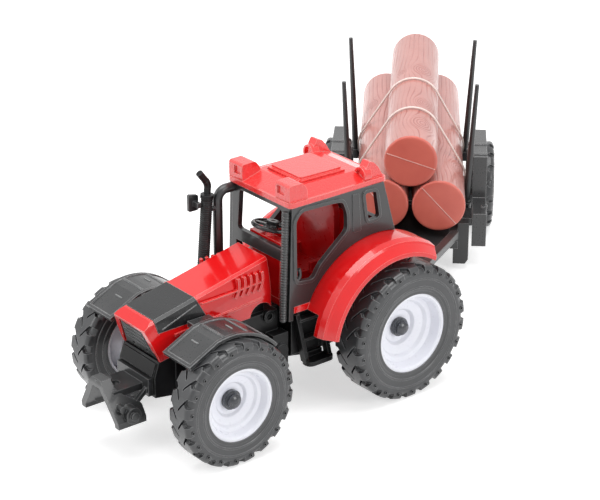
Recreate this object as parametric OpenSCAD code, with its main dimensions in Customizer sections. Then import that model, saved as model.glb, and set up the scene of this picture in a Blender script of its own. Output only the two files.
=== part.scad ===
// Toy tractor with a single-axle log trailer.
// Millimetres. The tractor faces +X and stands on z = 0; the trailer hangs on a tow pin
// behind it and is turned to one side. The whole model is centred on its own footprint.

/* [Tractor wheels] */
// Radius of a front tyre over its lugs
front_tyre_r = 35.8; // [33:0.1:37]
// Width of a front tyre
front_tyre_w = 17.4; // [14:0.1:19]
// Radius of a front rim
front_rim_r = 21; // [18:0.1:24]
// Half the width over the front tyres
front_half_track = 57; // [54:0.1:62]
// Radius of a rear tyre over its lugs
rear_tyre_r = 40.5; // [38:0.1:42]
// Width of a rear tyre
rear_tyre_w = 22.2; // [18:0.1:24]
// Radius of a rear rim
rear_rim_r = 23.8; // [20:0.1:27]
// Half the width over the rear tyres
rear_half_track = 55; // [54:0.1:60]
// Distance between the tractor's axles
wheelbase = 122.6; // [120:0.1:130]
// Height of the tread lugs
lug_h = 2; // [1.2:0.1:3]
// Gap between two lugs at the tyre's crown
lug_gap = 2; // [1.2:0.1:3]
// Lugs round a front tyre
front_lugs = 20; // [16:1:24]
// Lugs round a rear tyre
rear_lugs = 22; // [18:1:26]
// Radius of every axle rod
axle_r = 2.2; // [1.5:0.05:2.6]
// Radial running clearance of a rim on its axle rod
axle_play = 0.06; // [0.02:0.01:0.1]
// Gap between a turning face and what holds it
side_play = 0.35; // [0.3:0.05:0.6]

/* [Bonnet] */
// Height of the bonnet's rear top edge
bonnet_rear_z = 93.5; // [90:0.5:97]
// Height of the bonnet's top edge at the nose
nose_z = 76.4; // [74:0.1:79]
// Nose top edge, forward of the front axle
nose_x = 26.7; // [24:0.1:30]
// Half width of the bonnet's flat top
bonnet_top_half = 12.6; // [11:0.1:14]
// Half width of the bonnet's side walls
bonnet_half = 17.6; // [16:0.1:19]
// Height of the bonnet's lower edge
bonnet_base_z = 62; // [58:0.5:63]
// Wall of the bonnet moulding
bonnet_wall = 1.8; // [1.2:0.1:2.4]

/* [Cab] */
// Front of the cab, behind the front axle
cab_front = 54.4; // [54:0.1:58]
// Length of the cab at its roof frame
cab_len = 65; // [62:0.5:70]
// Half width of the cab
cab_half = 28; // [26:0.1:30]
// Height of the cab frame's top
cab_top_z = 124.8; // [120:0.1:130]
// Height of the floor's top
floor_z = 66; // [64:0.5:68]
// Thickness of the cab's plates
cab_plate = 2.4; // [1.8:0.1:3]
// Height of the roof's crown above the cab frame
roof_rise = 8.4; // [6:0.1:10]
// Radius of the steering wheel's rim
steering_r = 10.8; // [10:0.1:13]
// Tilt of the steering column
steering_tilt = 14; // [5:1:25]

/* [Mudguards] */
// Outer radius of a rear mudguard
guard_r = 54; // [51:0.1:56]
// Lip radius of a rear mudguard
guard_lip_r = 46.4; // [45:0.1:48]
// Outer side of a rear mudguard
guard_half = 50; // [48:0.1:54]
// Gap between a front tyre and its mudguard
front_guard_gap = 1.1; // [0.8:0.1:3]
// Width of a front mudguard
front_guard_w = 24.5; // [20:0.5:26]

/* [Tow hitch] */
// Tow pin, behind the front axle
hitch_back = 163; // [160:0.5:175]
// Radius of the tow pin
tow_pin_r = 2.4; // [1.8:0.1:3]
// Height of the drawbar eye's middle
hitch_z = 31.5; // [28:0.5:34]
// Radial running clearance of the drawbar eye
tow_play = 0.08; // [0.03:0.01:0.1]
// Radius of the hole in the front coupler
coupler_hole_r = 2.6; // [1.5:0.1:3.5]

/* [Trailer] */
// Angle that the trailer is turned to at rest
trailer_yaw = 47.6; // [0:0.1:55]
// Axle, behind the tow pin
trailer_axle_s = 197; // [190:1:205]
// Radius of a trailer tyre over its lugs
trailer_tyre_r = 29.5; // [27:0.1:31]
// Width of a trailer tyre
trailer_tyre_w = 18; // [14:0.5:20]
// Radius of a trailer rim
trailer_rim_r = 17; // [14:0.5:19]
// Half the width over the trailer tyres
trailer_half_track = 58; // [57:0.5:64]
// Lugs round a trailer tyre
trailer_lugs = 17; // [14:1:20]
// Half the distance between the side rails' middles
rail_half = 31; // [27:0.5:32]
// Side rail width
rail_w = 5.2; // [4:0.1:7]
// Front bunk, behind the tow pin
front_bunk_s = 147; // [140:1:150]
// Rear bunk, behind the tow pin
rear_bunk_s = 245; // [238:1:255]
// Height of the bunks' tops
bunk_z = 33.7; // [33:0.1:35]
// Height of the stakes' tips
stake_top_z = 118; // [100:1:125]
// Outward lean of the stakes
stake_lean = 3; // [0:0.5:4]

/* [Logs] */
// Radius of a log
log_r = 17.3; // [15:0.1:17.3]
// Length of a log
log_len = 221; // [200:1:230]
// Wall of a log's half shells
log_wall = 1.8; // [1.2:0.1:3]
// Diameter of a tie band's cord
band_d = 1.6; // [1:0.1:2.4]

/* [Hidden] */
$fn = 64;

RED = [0.78, 0.06, 0.05];
BLACK = [0.16, 0.17, 0.17];
GREY = [0.30, 0.31, 0.31];
WHITE = [0.93, 0.93, 0.96];
STEEL = [0.62, 0.63, 0.65];
WOOD = [0.80, 0.48, 0.44];
CLEAR = [0.92, 0.88, 0.86];

// Places worked out from the driving sizes
rear_x = -wheelbase;
cab_x = -cab_front;
cab_lean = 1.9;
pillar_foot_z = floor_z - 8;
cab_roof_x = cab_x - (cab_top_z - pillar_foot_z) * tan(cab_lean);
cab_back_x = cab_roof_x - cab_len;
cab_tail_x = cab_back_x - 9.4;
floor_t = 4;
chassis_top_z = floor_z - floor_t;
bonnet_rear_x = cab_x + 4.4;
ridge = 0.6;
bonnet_slope = atan2(bonnet_rear_z - nose_z, nose_x - bonnet_rear_x);
nose_tip = [nose_x + 5.5, nose_z - 3.7];
nose_foot = [nose_x - 2.1, nose_z - 22.8];
fit_gap = 0.3;
guard_x = rear_x + 5.6;
guard_z = rear_tyre_r + 0.5;
hitch_x = -hitch_back;
eye_t = 4.4;
eye_r = 6;
bundle_yaw = -0.8;
log_front_s = 99;
log_low_z = bunk_z + fit_gap + log_r;
log_top_z = log_low_z + 30;

// Each log: side offset, height of its axis, yaw, pitch, seam angle
LOGS = [
    [1.8, log_top_z, 0, 0.3, -20],
    [20.6, log_low_z, bundle_yaw, 0, -49],
    [-16.1, log_low_z, bundle_yaw, 0, -55]
];
band_s = [front_bunk_s + 4.6, 212];

// Footprint of the whole model, for centring it
coupler_len = 26.8;
front_reach = nose_foot[0] + 3.4 + coupler_len;
log_end_s = log_front_s + log_len;
log_drift = log_len * sin(bundle_yaw);
back_reach = hitch_x - log_end_s * cos(trailer_yaw) - (LOGS[1][0] + log_r + log_drift) * sin(trailer_yaw);
right_reach = -log_end_s * sin(trailer_yaw) + (LOGS[2][0] - log_r + log_drift) * cos(trailer_yaw);
mid_x = (front_reach + back_reach) / 2;
mid_y = (max(front_half_track, rear_half_track) + right_reach) / 2;

// ---------------------------------------------------------------- helpers

module placed() { translate([-mid_x, -mid_y, 0]) children(); }

// Trailer pieces are drawn straight behind the tow pin, which is at x = 0
module towed() { placed() translate([hitch_x, 0, 0]) rotate([0, 0, trailer_yaw]) children(); }

module on_side(side) {
    if (side > 0) children();
    else mirror([0, 1, 0]) children();
}

module both_sides() {
    children();
    mirror([0, 1, 0]) children();
}

module block(x0, x1, y0, y1, z0, z1) { translate([x0, y0, z0]) cube([x1 - x0, y1 - y0, z1 - z0]); }

// An outline in x, z made solid from y0 to y1
module side_on(y0, y1) { translate([0, y1, 0]) rotate([90, 0, 0]) linear_extrude(y1 - y0) children(); }

// An outline in y, z made solid from x0 to x1
module end_on(x0, x1) { translate([x0, 0, 0]) rotate([90, 0, 90]) linear_extrude(x1 - x0) children(); }

module rod_y(x, z, r, y0, y1) { translate([x, y0, z]) rotate([-90, 0, 0]) cylinder(r = r, h = y1 - y0); }

module round_rect(x0, y0, x1, y1, r) {
    translate([x0 + r, y0]) square([x1 - x0 - 2 * r, y1 - y0]);
    translate([x0, y0 + r]) square([x1 - x0, y1 - y0 - 2 * r]);
    for (x = [x0 + r, x1 - r], y = [y0 + r, y1 - r]) translate([x, y]) circle(r);
}

function unit(v) = v / norm(v);

// Outline with each corner rounded over a length r along both of its edges
function rounded(pts, r, n = 4) = [
    for (i = [0:len(pts) - 1])
        let (p = pts[i],
             a = p + r * unit(pts[(i + len(pts) - 1) % len(pts)] - p),
             b = p + r * unit(pts[(i + 1) % len(pts)] - p))
            for (k = [0:n]) let (t = k / n) (1 - t) * (1 - t) * a + 2 * t * (1 - t) * p + t * t * b
];

// Points of an arc about c
function arc(c, r, a0, a1, n) = [for (k = [0:n]) let (a = a0 + (a1 - a0) * k / n) c + r * [cos(a), sin(a)]];

// Outline of a band of width w along an open path
function along(path, i) = unit(path[min(i + 1, len(path) - 1)] - path[max(i - 1, 0)]);
function ribbon(path, w) = concat(
    [for (i = [0:len(path) - 1]) let (d = along(path, i)) path[i] + w / 2 * [-d[1], d[0]]],
    [for (i = [len(path) - 1:-1:0]) let (d = along(path, i)) path[i] - w / 2 * [-d[1], d[0]]]
);

// An anticlockwise outline, already rounded, drawn outwards by w
function grown(pts, w) = [for (i = [0:len(pts) - 1])
    let (n = len(pts), d = unit(pts[(i + 1) % n] - pts[(i + n - 1) % n])) pts[i] + w * [d[1], -d[0]]];

// Ring of square section about the z axis
module washer(r_in, r_out, h) {
    difference() {
        cylinder(r = r_out, h = h);
        translate([0, 0, -1]) cylinder(r = r_in, h = h + 2);
    }
}

// ---------------------------------------------------------------- wheels

// Puts a wheel piece, drawn about z with its inner face at z = 0, on an axle along y
module on_axle(x, r, half_track, w, side) {
    on_side(side) translate([x, half_track - w, r]) rotate([-90, 0, 0]) children();
}

function dish(w) = w * 0.58;
rim_inset = 0.9;
hub_r = 5.6;
cap_t = 2;
stud_r = 4.2;

// Half of a chevron lug, pressed outwards: a knob on the shoulder, then a slanting block to the crown
module half_lug(r, w, pitch) {
    knob = pitch * 0.27;
    crown = (pitch - lug_gap) / 2;
    sweep = w * 0.36;
    translate([r - lug_h - 4, 0, 0]) rotate([0, 90, 0]) linear_extrude(lug_h + 6) polygon([
        [0, -knob], [-w * 0.17, -knob], [-w * 0.25, -crown], [-w * 0.52, sweep - crown],
        [-w * 0.52, sweep + crown], [-w * 0.25, crown], [-w * 0.17, knob], [0, knob]
    ]);
}

module tyre_section(r, rim, w) {
    round_rect(rim, 0, r, w, 3.6);
    translate([rim, rim_inset / 2]) square([4, w - rim_inset]);
}

module tyre(r, rim, w, lugs) {
    color(GREY) {
        rotate_extrude($fn = 90) {
            tyre_section(r - lug_h, rim, w);
            for (ring = [0.28, 0.62])
                for (face = [0.1, w - 0.1])
                    translate([rim + (r - lug_h - rim) * ring, face]) circle(0.5, $fn = 16);
        }
        intersection() {
            rotate_extrude($fn = 90) difference() {
                round_rect(rim, 0.2, r, w - 0.2, 2.6);
                square([r - lug_h - 3.4, w]);
            }
            for (i = [0:lugs - 1]) {
                rotate([0, 0, i * 360 / lugs]) half_lug(r, w, 2 * PI * r / lugs);
                rotate([0, 0, (i + 0.5) * 360 / lugs]) translate([0, 0, w]) mirror([0, 0, 1])
                    half_lug(r, w, 2 * PI * r / lugs);
            }
        }
    }
}

// Deep-dished rim: bead, stepped dish and hub in one turned section
module rim(r, w) {
    face = w - rim_inset;
    floor_w = face - dish(w);
    run = r - 2.4 - hub_r;
    color(WHITE) rotate_extrude($fn = 90) polygon([
        [r, 0.9], [r, face], [r - 1.5, face], [r - 2.4, face - 1],
        [r - 2.4 - 0.10 * run, face - dish(w) * 0.50], [r - 2.4 - 0.26 * run, face - dish(w) * 0.56],
        [r - 2.4 - 0.34 * run, face - dish(w) * 0.72], [r - 2.4 - 0.66 * run, face - dish(w) * 0.84],
        [r - 2.4 - 0.74 * run, floor_w], [axle_r + axle_play, floor_w],
        [axle_r + axle_play, side_play], [hub_r, side_play], [hub_r, floor_w - 1.6],
        [r - 3.6 - 0.62 * run, floor_w - 1.6], [r - 2.6, face - dish(w) * 0.56],
        [r - 1.6, face - 3.4], [r - 1.6, 0.9]
    ]);
}

// Push-on cap: stepped disc and domed stud, seated on the rod's end
module hub_cap(w) {
    base = w - rim_inset - dish(w) + side_play;
    color(BLACK) translate([0, 0, base]) difference() {
        union() {
            cylinder(r = hub_r, h = cap_t);
            translate([0, 0, cap_t]) cylinder(r = hub_r - 0.6, h = 0.9);
            cylinder(r = stud_r, h = cap_t + 2.2);
            translate([0, 0, cap_t + 2.2]) intersection() {
                translate([0, 0, -3.4]) sphere(r = 5.6);
                cylinder(r = stud_r, h = 3);
            }
        }
        translate([0, 0, -1]) cylinder(r = axle_r, h = cap_t + 2.4);
    }
}

module axle_rod(x, r, half_track, w) {
    end = half_track - rim_inset - dish(w) + side_play + cap_t + 1.4;
    color(STEEL) rod_y(x, r, axle_r, -end, end);
}

module front_axle_rod() { placed() axle_rod(0, front_tyre_r, front_half_track, front_tyre_w); }
module rear_axle_rod() { placed() axle_rod(rear_x, rear_tyre_r, rear_half_track, rear_tyre_w); }

module at_front(side) { placed() on_axle(0, front_tyre_r, front_half_track, front_tyre_w, side) children(); }
module at_rear(side) { placed() on_axle(rear_x, rear_tyre_r, rear_half_track, rear_tyre_w, side) children(); }
module at_trailer(side) {
    towed() on_axle(-trailer_axle_s, trailer_tyre_r, trailer_half_track, trailer_tyre_w, side) children();
}

module tyre_front(side) { at_front(side) tyre(front_tyre_r, front_rim_r, front_tyre_w, front_lugs); }
module tyre_rear(side) { at_rear(side) tyre(rear_tyre_r, rear_rim_r, rear_tyre_w, rear_lugs); }
module tyre_trailer(side) { at_trailer(side) tyre(trailer_tyre_r, trailer_rim_r, trailer_tyre_w, trailer_lugs); }
module rim_front(side) { at_front(side) rim(front_rim_r, front_tyre_w); }
module rim_rear(side) { at_rear(side) rim(rear_rim_r, rear_tyre_w); }
module rim_trailer(side) { at_trailer(side) rim(trailer_rim_r, trailer_tyre_w); }
module front_hub_caps() { for (side = [1, -1]) at_front(side) hub_cap(front_tyre_w); }
module rear_hub_caps() { for (side = [1, -1]) at_rear(side) hub_cap(rear_tyre_w); }
module trailer_hub_caps() { for (side = [1, -1]) at_trailer(side) hub_cap(trailer_tyre_w); }

// ---------------------------------------------------------------- chassis

front_beam_end = front_half_track - front_tyre_w;
rear_beam_end = rear_half_track - rear_tyre_w;
engine_half = bonnet_half - 0.2;
block_back_x = nose_foot[0] - 10;
tank_x = [cab_x - 4, cab_x - 24];
pipe_ring = [bonnet_rear_x + 2.4, chassis_top_z - 2];

module chassis() {
    color(BLACK) placed() difference() {
        union() {
            side_on(-engine_half, engine_half) polygon([
                [block_back_x, 31], [block_back_x, nose_foot[1] - 0.4], [8, nose_foot[1] - 0.4],
                [4, bonnet_base_z], [bonnet_rear_x, bonnet_base_z], [bonnet_rear_x, chassis_top_z],
                [cab_x, chassis_top_z], [cab_x, 30], [-30, 28], [-10, 30]
            ]);
            side_on(-engine_half + 3.4, engine_half - 3.4) polygon([
                [2, bonnet_base_z - 1], [-4, 69], [-44, 72], [bonnet_rear_x + 2.4, 72], [bonnet_rear_x + 2.4, 60]
            ]);
            side_on(-13, 13) polygon([
                [cab_x + 1, chassis_top_z], [rear_x - 9, chassis_top_z], [rear_x - 12, 52],
                [rear_x - 12, 28], [cab_x - 20, 26], [cab_x + 1, 30]
            ]);
            rod_y(rear_x, rear_tyre_r, 9.5, -rear_beam_end + 0.1, rear_beam_end - 0.1);
            block(-6, 6, -front_beam_end + 0.1, front_beam_end - 0.1, front_tyre_r - 4.6, front_tyre_r + 5);
            both_sides() {
                block(cab_x - 2.4, cab_x + 8, engine_half - 1, 24, 29, 50);
                rod_y(cab_x + 2.6, 39.5, 4.4, 23, 25.2);
                translate([pipe_ring[0], engine_half - 1, pipe_ring[1]]) rotate([-90, 0, 0]) washer(2, 3.6, 3);
            }
        }
        rod_y(0, front_tyre_r, axle_r, -front_half_track, front_half_track);
        rod_y(rear_x, rear_tyre_r, axle_r, -rear_half_track, rear_half_track);
    }
}

module nose_block() {
    top = nose_foot[1] - 0.2;
    color(BLACK) placed() {
        side_on(-bonnet_half + 0.6, bonnet_half - 0.6) polygon([
            [block_back_x, 31], [block_back_x, top], [nose_foot[0] + 0.3, top],
            [nose_foot[0] + 3.4, top - 8.6], [nose_foot[0] + 3.4, 33]
        ]);
        side_on(-bonnet_half + 2.4, bonnet_half - 2.4) polygon([
            [nose_foot[0] + 0.6, top - 0.9], [nose_foot[0] + 1.6, top - 1.2],
            [nose_foot[0] + 4.4, top - 8], [nose_foot[0] + 3.2, top - 8.4]
        ]);
    }
}

// ---------------------------------------------------------------- bonnet

// Height of the bonnet's top line at x
function top_line(x) = nose_z + (nose_x - x) * tan(bonnet_slope);

// The bonnet's outer form, drawn in by a margin
module bonnet_form(inset, below = 0) {
    t = inset;
    base = bonnet_base_z - below;
    intersection() {
        side_on(-30, 30) polygon(concat(
            [[bonnet_rear_x + t, top_line(bonnet_rear_x) - t], [nose_x, nose_z - t],
             [nose_tip[0] - t, nose_tip[1] - t * 0.5], [nose_foot[0] - t, nose_foot[1] - below],
             [nose_x - 16, nose_foot[1] + 2.4 - below], [nose_x - 22, base], [bonnet_rear_x + 15, base]],
            below > 0 ? [[bonnet_rear_x + t, base]] : concat(
                arc([bonnet_rear_x + 6.6, bonnet_base_z - 1], 8, 10, 130, 8),
                [[bonnet_rear_x + t, bonnet_base_z + 3]])
        ));
        translate([bonnet_rear_x, 0, top_line(bonnet_rear_x)]) rotate([0, bonnet_slope, 0])
            end_on(-20, 110) polygon([for (side = [1, -1]) for (p = side > 0 ? bonnet_side(t) : bonnet_side_back(t))
                [side * p[0], p[1]]]);
    }
}

// Half section of the bonnet: half width and depth below the top line
function bonnet_side(t) = [
    [0, -t], [bonnet_top_half - t, -t], [bonnet_top_half + 1.6 - t, -1.3 - t],
    [bonnet_half - 1.1 - t, -11], [bonnet_half - t, -19], [bonnet_half - t, -60]
];
function bonnet_side_back(t) = [for (i = [5:-1:1]) bonnet_side(t)[i]];

// The part of the bonnet that the black insert takes
module insert_zone(margin) {
    side_on(-30, 30) polygon([
        [nose_x - 28.2 - margin, 100], [nose_x - 28.2 - margin, top_line(nose_x - 28.2)],
        [nose_x - 33.7 - margin, 71 - margin], [nose_x - 2.7 + margin, 69.6 - margin],
        [nose_x - 1.3 + margin, nose_z], [nose_x - 1.3 + margin, 100]
    ]);
}

module bonnet() {
    color(RED) placed() {
        difference() {
            bonnet_form(0);
            bonnet_form(bonnet_wall, 8);
            intersection() {
                insert_zone(0);
                difference() {
                    bonnet_form(-2, 0);
                    bonnet_form(0.9, 0);
                }
            }
            grille_zone(0);
        }
        both_sides() side_on(bonnet_half - 0.5, bonnet_half + ridge) polygon([
            [nose_x - 12, 66.2], [nose_x - 12, 67.6], [bonnet_rear_x + 6, 72.4], [bonnet_rear_x + 6, 71]
        ]);
        both_sides() for (i = [0:4]) side_on(bonnet_half - 1.4, bonnet_half + 0.5) translate([bonnet_rear_x + 7.6 + i * 4, 76])
            polygon(ribbon(arc([10.6, 8.4], 12.4, 164, 218, 6), 1.5));
        both_sides() side_on(bonnet_half - 1.2, bonnet_half + 0.3) polygon([
            [nose_x - 30, 79.4], [nose_x - 30, 80.2], [bonnet_rear_x + 7, 82], [bonnet_rear_x + 7, 81.2]
        ]);
    }
}

module bonnet_insert() {
    color(BLACK) placed() intersection() {
        insert_zone(-0.15);
        difference() {
            bonnet_form(-0.25, 0);
            bonnet_form(0.9, 0);
        }
    }
}

// The sloping panel at the nose, between the bonnet's edges
module grille_zone(margin) {
    across = nose_tip - nose_foot;
    lean = atan2(across[0], across[1]);
    translate([nose_foot[0], 0, nose_foot[1]]) rotate([0, lean, 0]) end_on(-1.6, 5) polygon([
        [-bonnet_half + 2.4 + margin, -3], [bonnet_half - 2.4 - margin, -3], [bonnet_half - 2.4 - margin, 0.5],
        [bonnet_top_half - 1.6 - margin, norm(across) - 1.8 - margin],
        [-bonnet_top_half + 1.6 + margin, norm(across) - 1.8 - margin], [-bonnet_half + 2.4 + margin, 0.5]
    ]);
}

module grille() {
    across = nose_tip - nose_foot;
    lean = atan2(across[0], across[1]);
    height = norm(across);
    color(BLACK) placed() translate([nose_foot[0], 0, nose_foot[1]]) rotate([0, lean, 0]) difference() {
        union() {
            end_on(-2.6, -0.6) polygon([
                [-bonnet_half + 2.6, 0.3], [bonnet_half - 2.6, 0.3], [bonnet_half - 2.7, 0.8],
                [bonnet_top_half - 1.8, height - 2.1], [-bonnet_top_half + 1.8, height - 2.1],
                [-bonnet_half + 2.7, 0.8]
            ]);
            for (k = [0:3]) block(-1, 0, -11.4 + k * 0.7, 11.4 - k * 0.7, 6.4 + k * 3, 7.6 + k * 3);
        }
        for (y = [-6.4, 6.4]) block(-2, 3, y - 1, y + 1, 2, 4);
    }
}

// ---------------------------------------------------------------- front mudguards

module front_mudguard(side) {
    inner_r = front_tyre_r + front_guard_gap;
    t = 1.8;
    axle = [0, front_tyre_r];
    guard_out = front_half_track - 7.2;
    guard_in = guard_out - front_guard_w;
    tip = [28, front_tyre_r + 28.4];
    stay_in = bonnet_half + ridge + 0.2;
    color(BLACK) placed() on_side(side) {
        difference() {
            side_on(guard_in, guard_out) polygon(concat(
                arc(axle, inner_r + t, 140, 76, 16), [tip], [tip - [0.8, 1.8]], arc(axle, inner_r, 76, 140, 16)));
            side_on(guard_in + 2.2, guard_out - 2.2) polygon(concat(
                arc(axle, inner_r + t + 2, 137, 76, 12), [tip + [-1, 1.4]], [tip - [2.4, -0.3]],
                arc(axle, inner_r + t - 0.5, 76, 137, 12)));
        }
        for (a = [84, 108, 130]) translate([0, 0, front_tyre_r]) rotate([0, -a, 0])
            block(inner_r + t - 0.6, inner_r + t + 0.1, guard_in + 2, guard_out - 2, -0.5, 0.5);
        block(-7, 7, stay_in, guard_in + 1, front_tyre_r + inner_r - 2.6, front_tyre_r + inner_r + 0.4);
        block(-7, 4, stay_in, stay_in + 2, bonnet_base_z - 8, front_tyre_r + inner_r);
        block(-7, 4, engine_half, stay_in + 1, bonnet_base_z - 8, bonnet_base_z - 0.4);
    }
}

// ---------------------------------------------------------------- front coupler

coupler_x = nose_foot[0] + 3.4;

// Flat tongue with its hole, carried between two splayed legs that meet at the front
module front_coupler() {
    tip = coupler_x + coupler_len;
    color(BLACK) placed() difference() {
        union() {
            block(coupler_x, coupler_x + 3, -15, 15, 34, 44.4);
            block(coupler_x, tip - 5, -9.4, 9.4, 36.4, 40.4);
            translate([tip - 5, 0, 42]) cylinder(r = 4.6, h = 3.4);
            intersection() {
                end_on(coupler_x + 4, tip) polygon([
                    [18.2, 22.2], [18.2, 25.4], [4.4, 46.2], [-4.4, 46.2], [-18.2, 25.4], [-18.2, 22.2],
                    [-14.4, 22.2], [-14.4, 24.6], [-3.2, 41.6], [3.2, 41.6], [14.4, 24.6], [14.4, 22.2]
                ]);
                side_on(-30, 30) polygon(rounded([
                    [coupler_x + 7, 21], [tip - 2.4, 21], [tip - 0.2, 44], [tip - 1.2, 47], [tip - 6.6, 47],
                    [tip - 7.4, 41.4], [coupler_x + 16, 37.4], [coupler_x + 7, 31.6]
                ], 1));
            }
            both_sides() {
                rod_y(coupler_x + 15.5, 28.4, 4.6, 13, 19.4);
                rod_y(coupler_x + 15.5, 28.4, 2.4, 19, 21);
                rod_y(coupler_x + 20.6, 32.6, 2, 11.4, 17.4);
                side_on(10.8, 13.2) polygon(ribbon([[coupler_x + 1.5, 38.6], [coupler_x + 11, 30.4]], 2.4));
            }
        }
        translate([coupler_x + 14.4, 0, 30]) cylinder(r = coupler_hole_r, h = 20);
    }
}

// ---------------------------------------------------------------- exhaust, tube, mirror, hose

// Radius and height pairs of a finely ribbed tube
function ribs(r, depth, pitch, len) = [for (i = [0:floor(len / pitch) - 1])
    each [[r - depth, i * pitch], [r, (i + 0.35) * pitch], [r, (i + 0.65) * pitch]]];

module ribbed_tube(r, depth, pitch, len) {
    rotate_extrude($fn = 40) polygon(concat([[0, 0]], ribs(r, depth, pitch, len), [[r - depth, len], [0, len]]));
}

stack_y = 25;
stack_x = cab_x + 21;
stack_lean = 5;
stack_foot_z = 64;
stack_len = 56;
stack_r = 3.4;
pipe_r = 2;
bend_r = 6;
bend_a = 44;

module exhaust() {
    color(BLACK) placed() {
        translate([stack_x, -stack_y, stack_foot_z]) rotate([0, -stack_lean, 0]) {
            ribbed_tube(stack_r, 0.4, 1.25, stack_len);
            translate([0, 0, stack_len - 0.5]) cylinder(r = stack_r + 0.4, h = 2.1);
            translate([0, 0, stack_len + 1]) cylinder(r = pipe_r, h = 4.8);
            translate([bend_r, 0, stack_len + 5.5]) rotate([90, 0, 0]) mirror([1, 0, 0])
                rotate_extrude(angle = bend_a, $fn = 48) translate([bend_r, 0]) circle(pipe_r + 0.12, $fn = 32);
            translate([bend_r - bend_r * cos(bend_a - 2), 0, stack_len + 5.5 + bend_r * sin(bend_a - 2)])
                rotate([0, bend_a - 2, 0]) cylinder(r = pipe_r, h = 7);
        }
        block(stack_x - 3, stack_x + 3, -stack_y, -engine_half, 56, 60);
        block(stack_x - 3, stack_x + 3, -stack_y - 3, -stack_y + 3, 56, stack_foot_z + 1);
    }
}

module side_mirror() {
    z = 111.5;
    x = stack_x - (z - stack_foot_z) * tan(stack_lean) + stack_r - 1;
    color(BLACK) placed() {
        side_on(-stack_y - stack_r - 2.2, -stack_y - stack_r - 0.6)
            polygon(rounded([[x, z], [x + 6.6, z], [x + 6.6, z + 10.4], [x, z + 9]], 1.2));
        block(x + 1.5, x + 3.6, -stack_y - stack_r - 0.8, -stack_y + 0.6, z + 3, z + 6);
    }
}

module intake_tube() {
    r = 2.8;
    x = cab_x + 9;
    z_top = cab_top_z - r - 0.3;
    foot_z = 50.2;
    bend = 6;
    y = cab_half - 3;
    link_z = 112;
    lean_back = (link_z - stack_foot_z) * tan(stack_lean);
    color(BLACK) placed() translate([0, -y, 0]) {
        translate([cab_roof_x + 0.4, 0, z_top]) rotate([0, 90, 0]) cylinder(r = r, h = x - bend - cab_roof_x - 0.4);
        translate([x - bend, 0, z_top - bend]) rotate([90, 0, 0]) rotate_extrude(angle = 90, $fn = 48)
            translate([bend, 0]) circle(r, $fn = 32);
        translate([x, 0, foot_z]) cylinder(r = r, h = z_top - bend - foot_z);
        block(x - 2, x + 2, 0, y - engine_half, foot_z, foot_z + 5.2);
        translate([x, 0, link_z]) rotate([0, 90, 0]) cylinder(r = 1.5, h = stack_x - lean_back - x - stack_r - 0.1);
    }
}

module pillar_hose() {
    color(BLACK) placed() translate([cab_x + 2.3, cab_half - 2.6, pillar_foot_z]) rotate([0, -cab_lean, 0])
        ribbed_tube(2.1, 0.4, 1.6, cab_top_z - pillar_foot_z - 2);
}

// ---------------------------------------------------------------- cab

cab_rail_r = guard_r + 5.4;
door_sill_z = floor_z + 15;

module cab_side(side) {
    door = rounded([
        [cab_x - 4.7, cab_top_z - 7.8], [cab_x - 9.2, cab_top_z - 3.3], [cab_roof_x - 28, cab_top_z - 3.9],
        [cab_roof_x - 35, cab_top_z - 4.6], [cab_roof_x - 38.2, cab_top_z - 12.7], [cab_roof_x - 38.4, guard_z + 61.4],
        [cab_x - 21.5, guard_z + 46], [cab_x - 16.6, door_sill_z - 1.4], [cab_x - 5.3, door_sill_z]
    ], 2.4);
    quarter = rounded([
        [cab_back_x + 13.9, cab_top_z - 3.6], [cab_back_x + 6, cab_top_z - 4],
        [cab_back_x + 3.3, guard_z + 63.9], [cab_back_x + 11, guard_z + 62.8]
    ], 2);
    color(BLACK) placed() on_side(side) {
        side_on(cab_half - cab_plate, cab_half) difference() {
            polygon([
                [cab_x, pillar_foot_z], [cab_roof_x, cab_top_z], [cab_back_x, cab_top_z], [cab_tail_x, guard_z + 51.6],
                [cab_tail_x, floor_z], [cab_x - 3, floor_z], [cab_x - 3, pillar_foot_z]
            ]);
            translate([guard_x, guard_z]) circle(guard_r + fit_gap, $fn = 120);
            polygon(door);
            polygon(quarter);
        }
        side_on(cab_half - 0.6, cab_half + 0.7) for (rim = [door, quarter]) difference() {
            polygon(grown(rim, 2));
            polygon(rim);
        }
        side_on(cab_half - 0.6, cab_half + 0.5) polygon(rounded([
            [cab_roof_x - 42.2, cab_top_z - 2.2], [cab_roof_x - 46.8, cab_top_z - 2.2],
            [cab_roof_x - 48.8, guard_z + 58.6], [cab_roof_x - 43, guard_z + 58.6]
        ], 1));
    }
}

module cab_front_frame() {
    rise = (cab_top_z - pillar_foot_z) / cos(cab_lean);
    sill = 98.2 - pillar_foot_z;
    color(BLACK) placed() translate([cab_x, 0, pillar_foot_z]) rotate([0, -cab_lean, 0]) end_on(-3, 0) difference() {
        polygon([
            [-cab_half + cab_plate, 0], [-cab_half + cab_plate, rise], [cab_half - cab_plate, rise],
            [cab_half - cab_plate, 0], [cab_half - 6.5, 0], [cab_half - 6.5, sill - 7],
            [-cab_half + 6.5, sill - 7], [-cab_half + 6.5, 0]
        ]);
        polygon(rounded([[-20.4, sill], [-19.3, rise - 3.2], [19.3, rise - 3.2], [20.4, sill]], 2.4));
    }
}

module cab_rear_frame() {
    lean = atan2(cab_back_x - cab_tail_x, cab_top_z - guard_z - 51.6);
    rise = (cab_top_z - guard_z - 51.6) / cos(lean);
    color(BLACK) placed() translate([cab_tail_x, 0, guard_z + 51.6]) rotate([0, lean, 0]) end_on(0.3, 2.7) difference() {
        polygon([
            [-cab_half + cab_plate, 1], [-cab_half + cab_plate, rise - 0.2], [cab_half - cab_plate, rise - 0.2],
            [cab_half - cab_plate, 1]
        ]);
        polygon(rounded([[-20.4, 6], [-19.3, rise - 5], [19.3, rise - 5], [20.4, 6]], 2.4));
    }
}

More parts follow.
